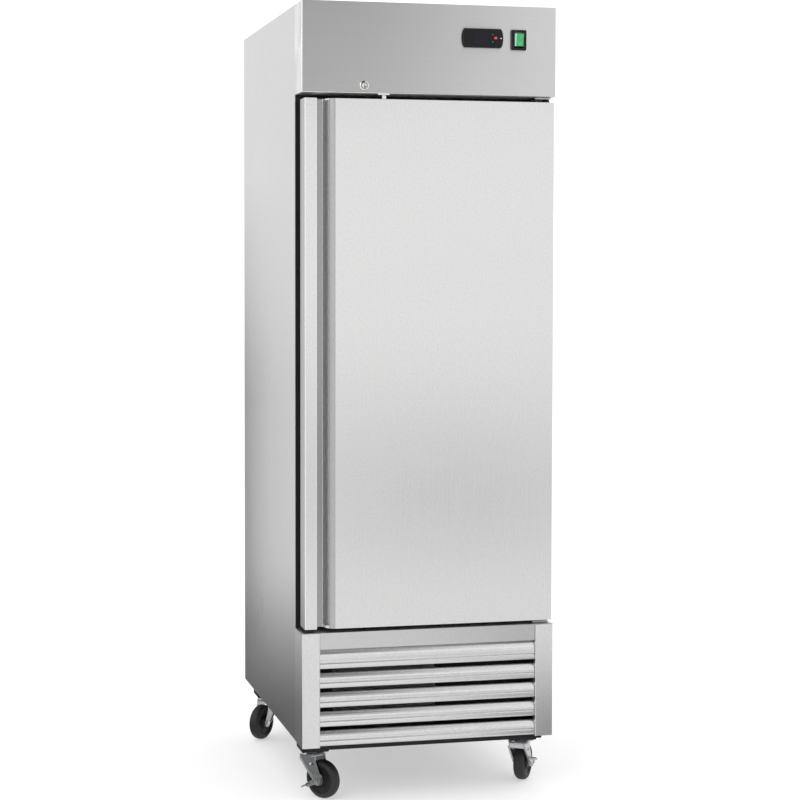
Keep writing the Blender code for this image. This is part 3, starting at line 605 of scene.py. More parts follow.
def build_back_panel():
    node, gland = cad("back_panel"), cad("cord_gland")
    face = node.y[1] - CLEAR
    count, low, high = 14, 0.215, 0.410
    pitch = (node.x[1] - node.x[0]) * 0.9 / count
    loops = [rectangle(shrunk(node.x, 0.0004), node.z)]
    for i in range(count):
        slot = rectangle(around((i - (count - 1) / 2) * pitch, 0.012), (low, high))
        loops.append(rounded(slot, 0.0059, 4))
    loops.append(circle(middle(gland.x), middle(gland.z), 0.0078, 20))
    piece = Piece("back_sheet")
    piece.add(extruded("XZ", loops, face - SHEET, face), "side_steel")
    for x in shrunk(node.x, 0.022):
        for z in spaced(*shrunk(node.z, 0.030), 8):
            screw(piece, (x, face, z), FACING_BACK, 0.0032)
    for x in spaced(*shrunk(node.x, 0.16), 3):
        for z in (node.z[0] + 0.014, node.z[1] - 0.014, high + 0.045):
            screw(piece, (x, face, z), FACING_BACK, 0.0032)
    seam = block(
        shrunk(node.x, 0.002), (face - 0.0002, face + 0.0006), around(high + 0.030, 0.0016), 0.0004
    )
    piece.add(seam, "side_steel")
    plate_x, plate_z = around(0.0, 0.120), around(1.62, 0.075)
    piece.add(block(plate_x, (face, face + 0.0006), plate_z, 0.0003), "aluminium")
    for x in shrunk(plate_x, 0.005):
        for z in shrunk(plate_z, 0.005):
            rivet(piece, (x, face + 0.0006, z), FACING_BACK, 0.0018)
    piece.place("cabinet", "stainless", "back_panel")
    strain_relief = [(0.0, 0.0), (0.0075, 0.0), (0.0075, 0.003), (0.0066, 0.0042), (0.0066, 0.0086)]
    strain_relief += [(0.0056, 0.0098), (0.0034, 0.0098), (0.0030, 0.0080), (0.0, 0.0080)]
    piece = Piece("cord_entry")
    ribbed = turned(strain_relief, 24)
    piece.add(ribbed, "black_frame", at(middle(gland.x), gland.y[0], middle(gland.z)) @ FACING_BACK)
    piece.place("cabinet", "frame_plastic", "cord_gland")


def build_door_surround():
    """The black surround that the gasket closes on, with a rolled inner edge."""
    node = cad("front_frame")
    front, back = node.y
    rings = [
        frame_ring(node.x, node.z, 0.0, 0.0010, back),
        frame_ring(node.x, node.z, 0.0, 0.0010, front + 0.0006),
    ]
    rings.append(frame_ring(node.x, node.z, 0.0006, 0.0010, front))
    roll = 0.004
    for angle in spaced(0.0, math.radians(90), 5):
        inset = -roll * (1 - math.sin(angle))
        rings.append(frame_ring(MOUTH_X, MOUTH_Z, inset, LINER_COVE, front + roll * (1 - math.cos(angle))))
    rings.append(frame_ring(MOUTH_X, MOUTH_Z, 0.0, LINER_COVE, back))
    piece = Piece("door_surround")
    piece.add(loft(rings, joined=True), "black_frame")
    piece.place("cabinet", "frame_plastic", "front_frame")


def build_liner():
    """The cold space's own skin, coved in its corners, with a higher pocket behind the header."""
    node = cad("inner_liner")
    header_wall = cad("evaporator_cover").y[0] - 0.150

    def section(front, wall):
        low, high = shrunk(node.z, wall)
        lip = MOUTH_Z[1] + LINER - wall
        back, pocket = node.y[1] - wall, header_wall + wall
        return [(front, low), (back, low), (back, high), (pocket, high), (pocket, lip), (front, lip)]

    outside = extruded("YZ", [section(node.y[0], 0.0)], *node.x)
    inside = extruded("YZ", [section(node.y[0] - 0.05, LINER)], *MOUTH_X, LINER_COVE, 4)
    piece = Piece("liner_shell")
    piece.add(carved(outside, inside), "aluminium")
    piece.place("cabinet", "aluminium", "inner_liner")


# Header and its fittings


def build_header():
    node = cad("header_panel")
    x, y, z = node
    lock, bolt = cad("lock_barrel"), cad("lock_bolt")
    controller, switch = cad("controller_housing"), cad("switch_housing")
    past = 0.010
    shell = block(x, (y[0], y[1] + past), z, 0.0022, 4)
    cutters = [
        block(shrunk(x, SHEET), (y[0] + SHEET, y[1] + 2 * past), shrunk(z, SHEET)),
        block((x[0] - past, x[1] + past), (y[1], y[1] + 2 * past), (z[0] - past, z[1] + past)),
        block(shrunk(controller.x, 0.009), around(y[0], past), shrunk(controller.z, 0.007)),
        block(shrunk(switch.x, 0.0054), around(y[0], past), shrunk(switch.z, 0.0060)),
        extruded("XZ", [circle(middle(lock.x), middle(lock.z), 0.0098)], *around(y[0], past)),
        block(
            around(bolt.x[1] - 0.0054, 0.0127), (bolt.y[0] - 0.001, bolt.y[0] + 0.004), around(z[0], past)
        ),
    ]
    piece = Piece("header_shell")
    piece.add(carved(shell, *cutters), "header_steel")
    # The front bevels, all but the top one, take a much lighter steel: a painted highlight along the
    # header's folds
    piece.repaint(
        "highlight_steel", lambda p, n: 0.25 < abs(n.y) < 0.97 and p.y < y[0] + BEND and p.z < z[1] - BEND
    )
    keeper_x = (bolt.x[1] - 0.0235, bolt.x[1] + 0.0075)
    piece.add(
        block(keeper_x, (y[0] + 0.0004, y[0] + 0.0016), (z[0] - 0.0036, z[0] + 0.0015), 0.0005), "nickel"
    )
    piece.place("cabinet", "stainless_header", "header_panel")


def build_lock():
    barrel, plug = cad("lock_barrel"), cad("lock_plug")
    x, z, front = middle(barrel.x), middle(barrel.z), cad("header_panel").y[0]
    profile = [(0.0063, 0.0020), (0.0068, 0.0025), (0.0078, 0.0025), (0.0080, 0.0010), (0.0091, 0.0010)]
    profile += [(0.0093, 0.0024), (0.0112, 0.0020), (0.0123, 0.0010)]
    profile += [(0.0125, CLEAR), (0.0096, CLEAR), (0.0096, -0.030), (0.0063, -0.030)]
    piece = Piece("lock_bezel")
    piece.add(turned(profile, 40, closed=True), "nickel", at(x, front, z) @ FACING_FRONT)
    # A black ring laid in the bezel's groove: painted shade
    groove_shade = [(0.0080, 0.0009), (0.0091, 0.0009), (0.0091, 0.0012), (0.0080, 0.0012)]
    piece.add(turned(groove_shade, 40, closed=True), "black_frame", at(x, front, z) @ FACING_FRONT)
    piece.place("cabinet", "nickel", "lock_barrel")
    profile = [
        (0.0, 0.0016), (0.0030, 0.0016), (0.0050, 0.0019), (0.0060, 0.0012), (0.0060, -0.032), (0.0, -0.032)
    ]
    core = turned(profile, 32)
    core.transform(at(x, front, z) @ FACING_FRONT)
    keyway = block(around(x, 0.0016), (front - 0.01, front + 0.006), around(z, 0.0072), 0.0003)
    ward = block(around(x + 0.0009, 0.0012), (front - 0.01, front + 0.006), around(z - 0.001, 0.0018))
    cam = block((x - 0.004, plug.x[1]), (plug.y[1] - 0.0025, plug.y[1]), around(z, 0.008), 0.0005)
    piece = Piece("lock_core")
    piece.add(carved(core, keyway, ward), "nickel")
    piece.add(cam, "zinc")
    piece.place("lock_plug", "nickel", "lock_plug")


def bowed(x, z, bow, corner, inset_x, inset_z, y):
    """An outline with straight long sides and ends that bow outwards, at the depth y."""
    low, high = shrunk(z, inset_z)
    half = (high - low) / 2
    loop = []
    for end, sign in ((x[1] - inset_x, 1), (x[0] + inset_x, -1)):
        for t in spaced(-1.0, 1.0, 9):
            rise = sign * t * half
            reach = bow * (1 - t * t) + corner * (min(1.0, (1 - abs(t)) * 4) ** 0.5 - 1)
            loop.append((end + sign * (reach - bow), y, middle((low, high)) + rise))
    return loop


def build_controller():
    node = cad("controller_housing")
    base = cad("header_panel").y[0] - CLEAR
    front = node.y[0]
    steps = ((0.0, 0.0, base), (0.0, 0.0, base - 0.0035), (0.0012, 0.0006, base - 0.0056))
    steps += ((0.0034, 0.0016, front + 0.0004), (0.0052, 0.0026, front))
    bezel = loft([bowed(node.x, node.z, 0.0045, 0.0022, *step) for step in steps])
    keys = [cad(f"button_{name}") for name in ("up", "down")]
    pockets = [
        block(
            shrunk(key.x, -0.0004), (front - 0.001, front + 0.0030), shrunk(key.z, -0.0004), 0.0004
        ) for key in keys
    ]
    window_x = (node.x[0] + 0.0262, node.x[0] + 0.0736)
    window_z = around(middle(node.z), 0.037)
    recess = block(window_x, (front - 0.001, front + 0.0006), window_z, 0.0003)
    piece = Piece("controller_case")
    piece.add(carved(bezel, recess, *pockets), "controller_black")
    behind = (base + 0.0003, node.y[1])
    piece.add(block(shrunk(node.x, 0.0095), behind, shrunk(node.z, 0.0072), 0.001), "controller_black")
    glass = block(
        shrunk(window_x, 0.0002), (front + 0.0002, front + 0.0006), shrunk(window_z, 0.0002), 0.0001
    )
    piece.add(glass, "glass_black")
    lamp = [(0.0, 0.0008), (0.0024, 0.0006), (0.0037, 0.0002), (0.0040, 0.0), (0.0, -0.0002)]
    place = at(node.x[1] - 0.0220, front, middle(node.z) + 0.0006) @ FACING_FRONT
    piece.add(turned(lamp, 24), "lamp_red", place @ Matrix.Diagonal((1.1, 0.85, 1.0, 1.0)))
    pale = block(
        around(node.x[1] - 0.0076, 0.0044), (front - 0.0002, front + 0.0004), around(middle(node.z), 0.0024)
    )
    piece.add(pale, "mark_dim")
    piece.place("cabinet", "controller_plastic", "controller_housing")
    for name, key, sign in (("up", keys[0], 1), ("down", keys[1], -1)):
        build_key(name, key, sign)


def build_key(name, key, sign):
    """A rubber key with a raised arrowhead that points up or down."""
    x, z, front = middle(key.x), middle(key.z), key.y[0]
    piece = Piece(f"key_{name}")
    piece.add(block(key.x, (front + 0.0002, key.y[1]), key.z, 0.0009, 3), "controller_black")
    arrow = [(x - 0.0019, z - sign * 0.0010), (x + 0.0019, z - sign * 0.0010), (x, z + sign * 0.0016)]
    piece.add(extruded("XZ", [rounded(arrow, 0.0004, 2)], front, front + 0.0004), "mark_grey")
    piece.place(f"button_{name}", "key_plastic", f"button_{name}")


def build_switch():
    node, rocker = cad("switch_housing"), cad("switch_rocker")
    base, front = cad("header_panel").y[0] - CLEAR, node.y[0]
    x, z = middle(node.x), middle(node.z)
    rings = [
        frame_ring(node.x, node.z, inset, 0.0030, y) for inset, y in ((0.0, base), (0.0, front + 0.0014))
    ]
    rings += [
        frame_ring(node.x, node.z, inset, 0.0030, y)
        for inset, y in ((0.0005, front + 0.0005), (0.0014, front))
    ]
    well_x, well_z = around(x, 0.0245), around(z, 0.042)
    well = block(well_x, (front - 0.001, front + 0.0170), well_z, 0.0008)
    behind = block(shrunk(node.x, 0.0058), (base + 0.0003, node.y[1]), shrunk(node.z, 0.0064), 0.0008)
    piece = Piece("switch_frame")
    piece.add(
        carved(loft(rings), block(well_x, (front - 0.001, base + 0.001), well_z, 0.0008)),
        "controller_black",
    )
    piece.add(carved(behind, well), "controller_black")
    # The frame's left-facing end takes the lighter grey: a painted highlight
    piece.repaint("switch_highlight", lambda p, n: n.x < -0.5 and p.x < node.x[0] + 0.002 and p.y < base)
    piece.place("cabinet", "controller_plastic", "switch_housing")
    build_rocker(rocker, z)


def build_rocker(node, z):
    """The lit rocker, its upper half raised, with a pale strip down its left side: a painted highlight, the
    glint on the edge of a clear boot.
    """
    pivot = cad("header_panel").y[0] + 0.004
    raised, sunk = math.radians(11), math.radians(3)  # how far each half leans from upright
    half = (node.z[1] - node.z[0]) / 2
    high = node.y[0] - pivot
    ridge = high + half * math.tan(raised)
    low = ridge + half * math.tan(sunk)
    face = [(high, half), (ridge, 0.0), (low, -half)]
    hollow = [
        (-0.002, -half * 0.96),
        (0.0045, -half * 0.45),
        (0.0060, 0.0),
        (0.0045, half * 0.45),
        (-0.002, half * 0.96),
    ]
    section = [(u + pivot, v + z) for u, v in face + hollow]
    highlight_edge = node.x[0] + 0.0040
    piece = Piece("rocker_key")
    piece.add(extruded("YZ", [section], highlight_edge, node.x[1], 0.0006), "rocker_green")
    # The pale strip down the left side is a painted highlight
    piece.add(extruded("YZ", [section], node.x[0], highlight_edge, 0.0006), "rocker_highlight")
    bar = block(around(0, 0.0008), around(0, 0.0056), (-0.0002, 0.0001))
    ring = turned(
        [(0.0020, -0.0002), (0.0028, -0.0002), (0.0028, 0.0001), (0.0020, 0.0001)], 24, closed=True
    )
    for mark, level, slope, ends in ((bar, 0.5, raised, (high, ridge)), (ring, -0.5, sunk, (ridge, low))):
        centre = at(middle((highlight_edge, node.x[1])), pivot + middle(ends), z + level * half)
        piece.add(mark, "mark_dim", centre @ Matrix.Rotation(-slope, 4, "X") @ FACING_FRONT)
    piece.place("switch_rocker", "rocker_green", "switch_rocker")


# Base grille


def build_grille():
    for side, sign in (("left", -1), ("right", 1)):
        node = cad(f"grille_stile_{side}")
        outer = sign * max(abs(v) for v in node.x)
        inner = sign * min(abs(v) for v in node.x)
        front, back = node.y
        path = [(outer, back), (outer, front), (inner, front), (inner, front + 0.020)]
        if sign > 0:
            path.reverse()
        piece = Piece(f"stile_{side}")
        piece.add(folded("XY", path, *node.z), "door_steel")
        piece.place("cabinet", "stainless", f"grille_stile_{side}")
    rail, stile = cad("grille_rail"), cad("grille_stile_right")
    across = (-stile.x[0] + 0.0006, stile.x[0] - 0.0006)
    face, plate = rail.y[0] + 0.0035, rail.z[1] - 0.0015
    path = [(face, plate + 0.0004), (face, rail.z[0]), (face + 0.015, rail.z[0])]
    piece = Piece("rail_and_cover")
    piece.add(folded("YZ", path, *across), "level_steel")
    piece.add(block(rail.x, rail.y, (plate, rail.z[1]), 0.0005), "level_steel")
    piece.place("cabinet", "stainless", "grille_rail")
    for i in range(1, 6):
        build_louver(i)


def build_louver(number):
    """A blade that curves up and back under the next one, with a crease over a lip that curls under."""
    node = cad(f"louver_{number}")
    (front, back), (bottom, top) = node.y, node.z
    fold = bottom + 0.016
    crest = spaced(math.radians(84), math.radians(6), 8)
    path = [(back - (back - front) * math.cos(a), fold + (top - fold) * math.sin(a)) for a in crest]
    path += [(front, fold + 0.0004), (front + 0.0020, fold - 0.0014), (front, fold - 0.0036)]
    path += [(front, bottom + 0.0040), (front + 0.0024, bottom), (front + 0.010, bottom)]
    piece = Piece(f"louver_blade_{number}")
    piece.add(folded("YZ", path, *shrunk(node.x, 0.0002), radius=0.0010), "blade_steel")
    for x in shrunk(node.x, 0.0012):
        low, high = bottom + 0.003, fold + 0.012
        near, far = front + 0.003, front + 0.010
        tab = [(near, low), (far, low), (far, high), (front + 0.007, high), (near, fold)]
        piece.add(extruded("YZ", [rounded(tab, 0.002)], *around(x, 0.0010)), "blade_steel")
    piece.place("cabinet", "stainless", f"louver_{number}")


# Machine space


def build_tray():
    node = cad("base_tray")
    wall = 0.002
    body = block(node.x, node.y, node.z, 0.0025, 3)
    hollow = block(shrunk(node.x, wall), shrunk(node.y, wall), (node.z[0] + wall, node.z[1] + 0.01))
    louver = cad("louver_5")
    notch_y = (node.y[0] - 0.01, louver.y[1] + 0.006)
    notch = block(shrunk(node.x, -0.01), notch_y, (louver.z[0] - 0.003, node.z[1] + 0.01))
    piece = Piece("chassis_tray")
    piece.add(carved(body, hollow, notch), "black_paint")
    for x in spaced(*shrunk(node.x, 0.06), 5):
        rivet(piece, (x, node.y[0], node.z[0] + 0.007), FACING_FRONT, 0.0022, "black_paint")
    piece.place("cabinet", "black_paint", "base_tray")


def build_shade_baffle():
    """A black sheet round the condenser: a sheet of painted shade that keeps the gaps between the louvres
    dark, which also stands for an air baffle that makes the air go through the fins.
    """
    coil, tray, floor = cad("condenser_coil"), cad("base_tray"), cad("cabinet_insulation").z[0]
    back = coil.y[0] - 0.0006
    sheet_z = (coil.z[0], floor - 0.002)
    opening = rectangle(shrunk(coil.x, 0.013), (coil.z[0] + 0.004, coil.z[1] - 0.004))
    piece = Piece("shade_baffle")
    sheet = extruded("XZ", [rectangle(shrunk(tray.x, 0.003), sheet_z), opening], back - SHEET, back)
    piece.add(sheet, "black_paint")
    for x in spaced(*shrunk(tray.x, 0.02), 6):
        screw(piece, (x, back - SHEET, sheet_z[1] - 0.008), FACING_FRONT, 0.0030, "black_paint")
    piece.place("cabinet", "black_paint")


def build_finned_coil(name, node_name, rows, layers, fins, pipe):
    """A stack of thin fins on copper pipes that turn back at both ends."""
    node = cad(node_name)
    bend = 0.010
    fin_x, across, upright = shrunk(node.x, bend + 0.004), node.y, node.z
    piece = Piece(name)
    for x in spaced(*fin_x, fins):
        piece.add(block(around(x, 0.0005), across, upright), "fins")
    for end in fin_x:
        piece.add(block(around(end, 0.0014), across, upright, 0.0004), "aluminium")
    depths = spaced(*shrunk(across, (across[1] - across[0]) / (2 * layers)), layers)
    heights = spaced(*shrunk(upright, 0.016), rows)
    for depth in depths:
        for i, height in enumerate(heights):
            piece.add(
                tube([(fin_x[0] - 0.003, depth, height), (fin_x[1] + 0.003, depth, height)], pipe, 8),
                "copper",
            )
            if i == len(heights) - 1:
                continue
            sign = 1 if i % 2 else -1
            end = fin_x[i % 2] + sign * 0.002
            rise = (heights[i + 1] - height) / 2
            reach = min(bend, rise)
            loop = [
                (end + sign * reach * math.cos(a), depth, height + rise + rise * math.sin(a))
                for a in spaced(-math.pi / 2, math.pi / 2, 9)
            ]
            piece.add(tube(loop, pipe, 8), "copper")
    piece.place("cabinet", "copper_fins", node_name)


def build_shroud():
    node, fan = cad("condenser_shroud"), cad("condenser_fan")
    x, z = middle(fan.x), middle(fan.z)
    front, back = node.y[0], node.y[0] + 0.050
    opening = (fan.x[1] - fan.x[0]) / 2 + 0.007
    piece = Piece("fan_shroud")
    wall = 0.0015
    plate = [rectangle(node.x, node.z), circle(x, z, opening, 48)]
    piece.add(extruded("XZ", plate, back - wall, back), "black_paint")
    ring = [(opening, 0.0), (opening + wall, 0.0), (opening + wall, 0.030), (opening, 0.030)]
    piece.add(turned(ring, 48, closed=True), "black_paint", at(x, back - wall, z) @ FACING_FRONT)
    corners = ((0.0, front), (0.0, back), (wall, back), (wall, front))
    skirt = [frame_ring(node.x, node.z, inset, 0.002, y) for inset, y in corners]
    piece.add(loft(skirt, joined=True), "black_paint")
    motor = [(0.0, 0.000), (0.012, 0.000), (0.030, 0.004), (0.032, 0.010), (0.032, 0.034)]
    motor += [(0.030, 0.036), (0.030, 0.040), (0.032, 0.042), (0.032, 0.050), (0.026, 0.056), (0.0, 0.056)]
    piece.add(turned(motor, 36), "black_paint", at(x, back + 0.004, z) @ FACING_BACK)
    for turn in (0, 90, 180, 270):
        arm = block((0.020, opening + 0.006), (back + 0.0005, back + 0.0045), around(0.0, 0.014), 0.001)
        spin = at(x, 0, z) @ Matrix.Rotation(math.radians(turn + 45), 4, "Y")
        piece.add(arm, "zinc", spin)
        tip = spin @ Vector((opening + 0.001, back + 0.0045, 0.0))
        screw(piece, tip, FACING_BACK)
    piece.place("cabinet", "black_paint", "condenser_shroud")


def build_fan(name, node_name, blades=4):
    """An axial fan with swept, cambered blades."""
    node = cad(node_name)
    centre = Vector((middle(node.x), middle(node.y), middle(node.z)))
    tip = (node.x[1] - node.x[0]) / 2 - 0.0005
    half = (node.y[1] - node.y[0]) / 2 - 0.0012
    hub = 0.024
    piece = Piece(name)
    profile = [
        (0.0, 0.0118),
        (0.010, 0.0122),
        (0.020, 0.0116),
        (0.0236, 0.0085),
        (hub, 0.004),
        (hub, -0.0118),
        (0.0, -0.0118),
    ]
    piece.add(turned(profile, 36), "fan_black", FACING_FRONT)
    for blade in range(blades):
        rings = []
        for r in spaced(hub - 0.004, tip, 7):
            share = (r - hub) / (tip - hub)
            outside = max(share, 0)
            sweep = math.radians(26) * outside**1.4
            width = math.radians(58) * (1 - 0.30 * outside)
            thickness = 0.0011 - 0.0004 * outside
            upper, lower = [], []
            for t in spaced(-1.0, 1.0, 9):
                angle = 2 * math.pi * blade / blades + sweep + t * width / 2
                y = half * 0.92 * t * (0.75 + 0.25 * share) + 0.0016 * (1 - t * t)
                body = thickness * (1.05 - t * t)
                upper.append((r * math.cos(angle), y + body, r * math.sin(angle)))
                lower.append((r * math.cos(angle), y - body, r * math.sin(angle)))
            rings.append(upper + lower[::-1])
        piece.add(loft(rings), "fan_black")
    piece.bm.transform(Matrix.Translation(centre))
    piece.place(node_name, "fan_plastic", node_name)


def build_compressor():
    node = cad("compressor")
    x, y = middle(node.x), middle((node.y[0] + 0.003, node.y[1] - 0.003))
    floor, top = node.z
    radius = (node.y[1] - node.y[0]) / 2 - 0.003
    dome = [(radius * math.cos(a), 0.105 + 0.085 * math.sin(a)) for a in spaced(math.radians(90), 0.0, 9)]
    belly = [(radius * math.cos(a), 0.050 - 0.032 * math.sin(a)) for a in spaced(0.0, math.radians(90), 7)]
    weld = [(radius + 0.0028, 0.102), (radius + 0.0028, 0.096), (radius, 0.094)]
    piece = Piece("compressor_can")
    piece.add(turned(dome + weld + belly, 48), "compressor_paint", at(x, y, floor))
    feet_y = around(y, 0.110)
    piece.add(block(node.x, feet_y, (floor + 0.010, floor + 0.014), 0.0012), "compressor_paint")
    for foot_x in shrunk(node.x, 0.018):
        for foot_y in shrunk(feet_y, 0.018):
            grommet = [
                (0.004, 0.0), (0.011, 0.0), (0.011, 0.008), (0.008, 0.010), (0.008, 0.014), (0.011, 0.016)
            ]
            grommet += [(0.011, 0.021), (0.004, 0.021)]
            piece.add(turned(grommet, 20, closed=True), "gasket_rubber", at(foot_x, foot_y, floor))
            piece.add(hexagon(0.010, 0.005), "zinc", at(foot_x, foot_y, floor + 0.019))
    box_x = (x - radius - 0.022, x - radius + 0.012)
    piece.add(block(box_x, around(y, 0.062), around(floor + 0.085, 0.056), 0.004, 3), "black_frame")
    coil_side = cad("condenser_shroud").x[1] - 0.012
    discharge = [
        (x + 0.030, y, floor + 0.178), (x + 0.034, y, top - 0.004), (x + 0.070, y - 0.02, top - 0.002)
    ]
    discharge += [(x + 0.110, y - 0.060, top - 0.030), (coil_side + 0.020, y - 0.120, top - 0.050)]
    suction = [(x, y + radius - 0.012, floor + 0.150), (x, y + radius + 0.004, floor + 0.180)]
    suction += [(x + 0.020, y + radius + 0.020, top - 0.004), (x + 0.120, y + radius + 0.020, top + 0.060)]
    suction.append((x + 0.140, y + radius + 0.020, floor + 0.300))
    for path, size in ((discharge, 0.0035), (suction, 0.0050)):
        piece.add(tube(smooth_path(path), size, 10), "copper")
    piece.place("cabinet", "compressor_paint", "compressor")


def smooth_path(points, steps=5):
    """A Catmull-Rom curve through points."""
    points = [Vector(p) for p in points]
    ends = [2 * points[0] - points[1], *points, 2 * points[-1] - points[-2]]
    made = []
    for a, b, c, d in zip(ends, ends[1:], ends[2:], ends[3:]):
        for s in range(steps):
            t = s / steps
            square, cube = 2 * a - 5 * b + 4 * c - d, 3 * b - a - 3 * c + d
            made.append(0.5 * (2 * b + (c - a) * t + square * t**2 + cube * t**3))
    return [*made, points[-1]]


# Cold space


SLOT_PITCH = 0.0254
HOOK = 0.010


def build_posts():
    """Slotted uprights with a hooked clip under each shelf's corner."""
    for place in ("front", "rear"):
        for side, sign in (("left", -1), ("right", 1)):
            node = cad(f"shelf_post_{place}_{side}")
            wall = sign * max(abs(v) for v in node.x)
            face = sign * min(abs(v) for v in node.x)
            y = middle(node.y)
            count = int((node.z[1] - node.z[0] - 0.02) / SLOT_PITCH)
            first = middle(node.z) - (count - 1) / 2 * SLOT_PITCH
            loops = [rectangle(node.y, node.z)]
            for i in range(count):
                slot = rectangle(around(y, 0.008), around(first + i * SLOT_PITCH, 0.010))
                loops.append(rounded(slot, 0.001, 2))
            piece = Piece(f"post_{place}_{side}")
            piece.add(extruded("YZ", loops, *sorted((face, face + sign * SHEET))), "aluminium")
            for edge in shrunk(node.y, SHEET / 2):
                piece.add(
                    block(sorted((face + sign * SHEET, wall)), around(edge, SHEET), node.z), "aluminium"
                )
            for name in ("shelf_1", "shelf_2", "shelf_3"):
                seat = cad(name).z[0] - 0.0004
                end = face - sign * HOOK
                hook = [(face, seat + HOOK), (face, seat), (end, seat), (end, seat + 0.0022)]
                if sign > 0:
                    hook.reverse()
                piece.add(folded("XZ", hook, *around(y, 0.014), radius=0.001), "zinc")
            piece.place("cabinet", "aluminium", f"shelf_post_{place}_{side}")


def build_shelf(number):
    node = cad(f"shelf_{number}")
    rim, wire = 0.0032, 0.0016
    level, top = node.z[0] + rim, node.z[1] - wire
    corners = rounded(rectangle(shrunk(node.x, rim), shrunk(node.y, rim)), 0.014, 5)
    piece = Piece(f"wire_shelf_{number}")
    piece.add(tube([(u, v, level) for u, v in corners], rim, 10, closed=True), "shelf_white")
    for y in spaced(*shrunk(node.y, 0.12), 4):
        piece.add(
            tube([(node.x[0] + rim, y, level), (node.x[1] - rim, y, level)], 0.0026, 8), "shelf_white"
        )
    front, back = shrunk(node.y, rim)
    for x in spaced(*shrunk(node.x, 0.016), 27):
        path = [(x, front, level), (x, front + 0.002, top), (x, back - 0.002, top), (x, back, level)]
        piece.add(tube(path, wire, 6), "shelf_white")
    piece.place("cabinet", "shelf_coating", f"shelf_{number}")


def build_evaporator_cover():
    node, fan = cad("evaporator_cover"), cad("evaporator_fan")
    x, z = middle(fan.x), middle(fan.z)
    front = node.y[0]
    mouth = (fan.x[1] - fan.x[0]) / 2 + 0.004
    body = block(node.x, node.y, node.z, 0.006, 4)
    hollow = block(
        shrunk(node.x, LINER), (front + LINER, node.y[1] + 0.01), (node.z[0] + LINER, node.z[1] + 0.01)
    )
    hole = extruded("XZ", [circle(x, z, mouth, 48)], *around(front, 0.02))
    piece = Piece("evaporator_housing")
    piece.add(carved(body, hollow, hole), "aluminium")
    for radius in spaced(0.018, mouth + 0.004, 6):
        loop = [(x + u, front - 0.003, z + v) for u, v in circle(0, 0, radius, 40)]
        piece.add(tube(loop, 0.0011, 6, closed=True), "zinc")
    for angle in (45, 135):
        a = math.radians(angle)
        reach = Vector((math.cos(a), 0.0, math.sin(a))) * (mouth + 0.010)
        centre = Vector((x, front - 0.0012, z))
        piece.add(tube([centre - reach, centre + reach], 0.0016, 8), "zinc")
        for end in (centre - reach, centre + reach):
            screw(piece, (end.x, front, end.z), FACING_FRONT, 0.0040)
    for corner_x in shrunk(node.x, 0.016):
        for corner_z in shrunk(node.z, 0.016):
            screw(piece, (corner_x, front, corner_z), FACING_FRONT)
    piece.place("cabinet", "aluminium", "evaporator_cover")


# Door

LIP_WIDTH = 0.0326
LIP_UNDERCUT = 0.003
CHANNEL_FLOOR_END = 0.055
CHANNEL_END = 0.0813
CHANNEL_DEPTH = 0.035


def door_path():
    """The door skin's plan line, from its left side round to its right side."""
    node = cad("door_outer_panel")
    left, right = node.x
    face, back = node.y
    floor = face + CHANNEL_DEPTH
    controls = (
        Vector((CHANNEL_FLOOR_END, floor)),
        Vector((CHANNEL_FLOOR_END + 0.0035, face + CHANNEL_DEPTH / 2)),
        Vector((CHANNEL_FLOOR_END + 0.009, face + 0.002)),
        Vector((CHANNEL_END, face)),
    )
    wall = []
    for t in spaced(0.0, 1.0, 13):
        weights = ((1 - t) ** 3, 3 * t * (1 - t) ** 2, 3 * t**2 * (1 - t), t**3)
        wall.append(sum((w * c for w, c in zip(weights, controls)), Vector((0.0, 0.0))))
    path = [Vector((0.0, back)), Vector((0.0, face)), Vector((LIP_WIDTH, face))]
    path += [Vector((LIP_WIDTH - LIP_UNDERCUT, floor)), *wall]
    path = [p + Vector((left, 0.0)) for p in path]
    return path + [Vector((right, face)), Vector((right, back))]


def build_door_skin():
    node, bolt, pin = cad("door_outer_panel"), cad("lock_bolt"), hinge_axis()
    path = door_path()
    piece = Piece("door_skin")
    piece.add(folded("XY", path, *node.z), "door_steel")
    left, floor = node.x[0], node.y[0] + CHANNEL_DEPTH
    channel = (left + LIP_WIDTH - LIP_UNDERCUT - 0.002, left + CHANNEL_FLOOR_END - 0.001)
    # The lip and handle channel are repainted by where each face lies and faces. The lighter steel on the
    # lip's bends is a painted highlight
    piece.repaint(
        "highlight_steel", lambda p, n: p.x < left + LIP_WIDTH + 0.002 and 0.2 < abs(n.x) < 0.98 and n.y < 0.0
    )
    # The door's left edge, in a darker steel, is painted shade
    piece.repaint("shaded_wall_steel", lambda p, n: p.x < left + 0.002 and n.x < -0.98)
    # The channel floor, in a darker steel, is painted shade
    piece.repaint("shaded_channel_steel", lambda p, n: p.y > floor - 0.003 and channel[0] < p.x < channel[1])
    # The deep part of the channel wall is a painted highlight, and its shallow rolled part is painted shade
    roll = (channel[1], left + CHANNEL_END)
    deep = node.y[0] + 0.008
    piece.repaint("highlight_steel", lambda p, n: deep < p.y < floor + 0.002 and roll[0] < p.x < roll[1])
    piece.repaint("shaded_wall_steel", lambda p, n: p.y < deep and roll[0] < p.x < roll[1] - 0.0005)
    outline = offset(rounded(path, BEND, 4, closed=False), SHEET * 0.5)
    slot = rectangle(around(bolt.x[1] - 0.0054, 0.0147), (bolt.y[0] - 0.001, bolt.y[0] + 0.004))
    socket = circle(*pin, 0.0052, 20)
    cap = 0.0015
    piece.add(
        extruded("XY", [outline, slot, socket], node.z[1] - 0.0006 - cap, node.z[1] - 0.0006), "door_steel"
    )
    piece.add(extruded("XY", [outline, socket], node.z[0] + 0.0006, node.z[0] + 0.0006 + cap), "door_steel")
    piece.place("door", "stainless", "door_outer_panel")


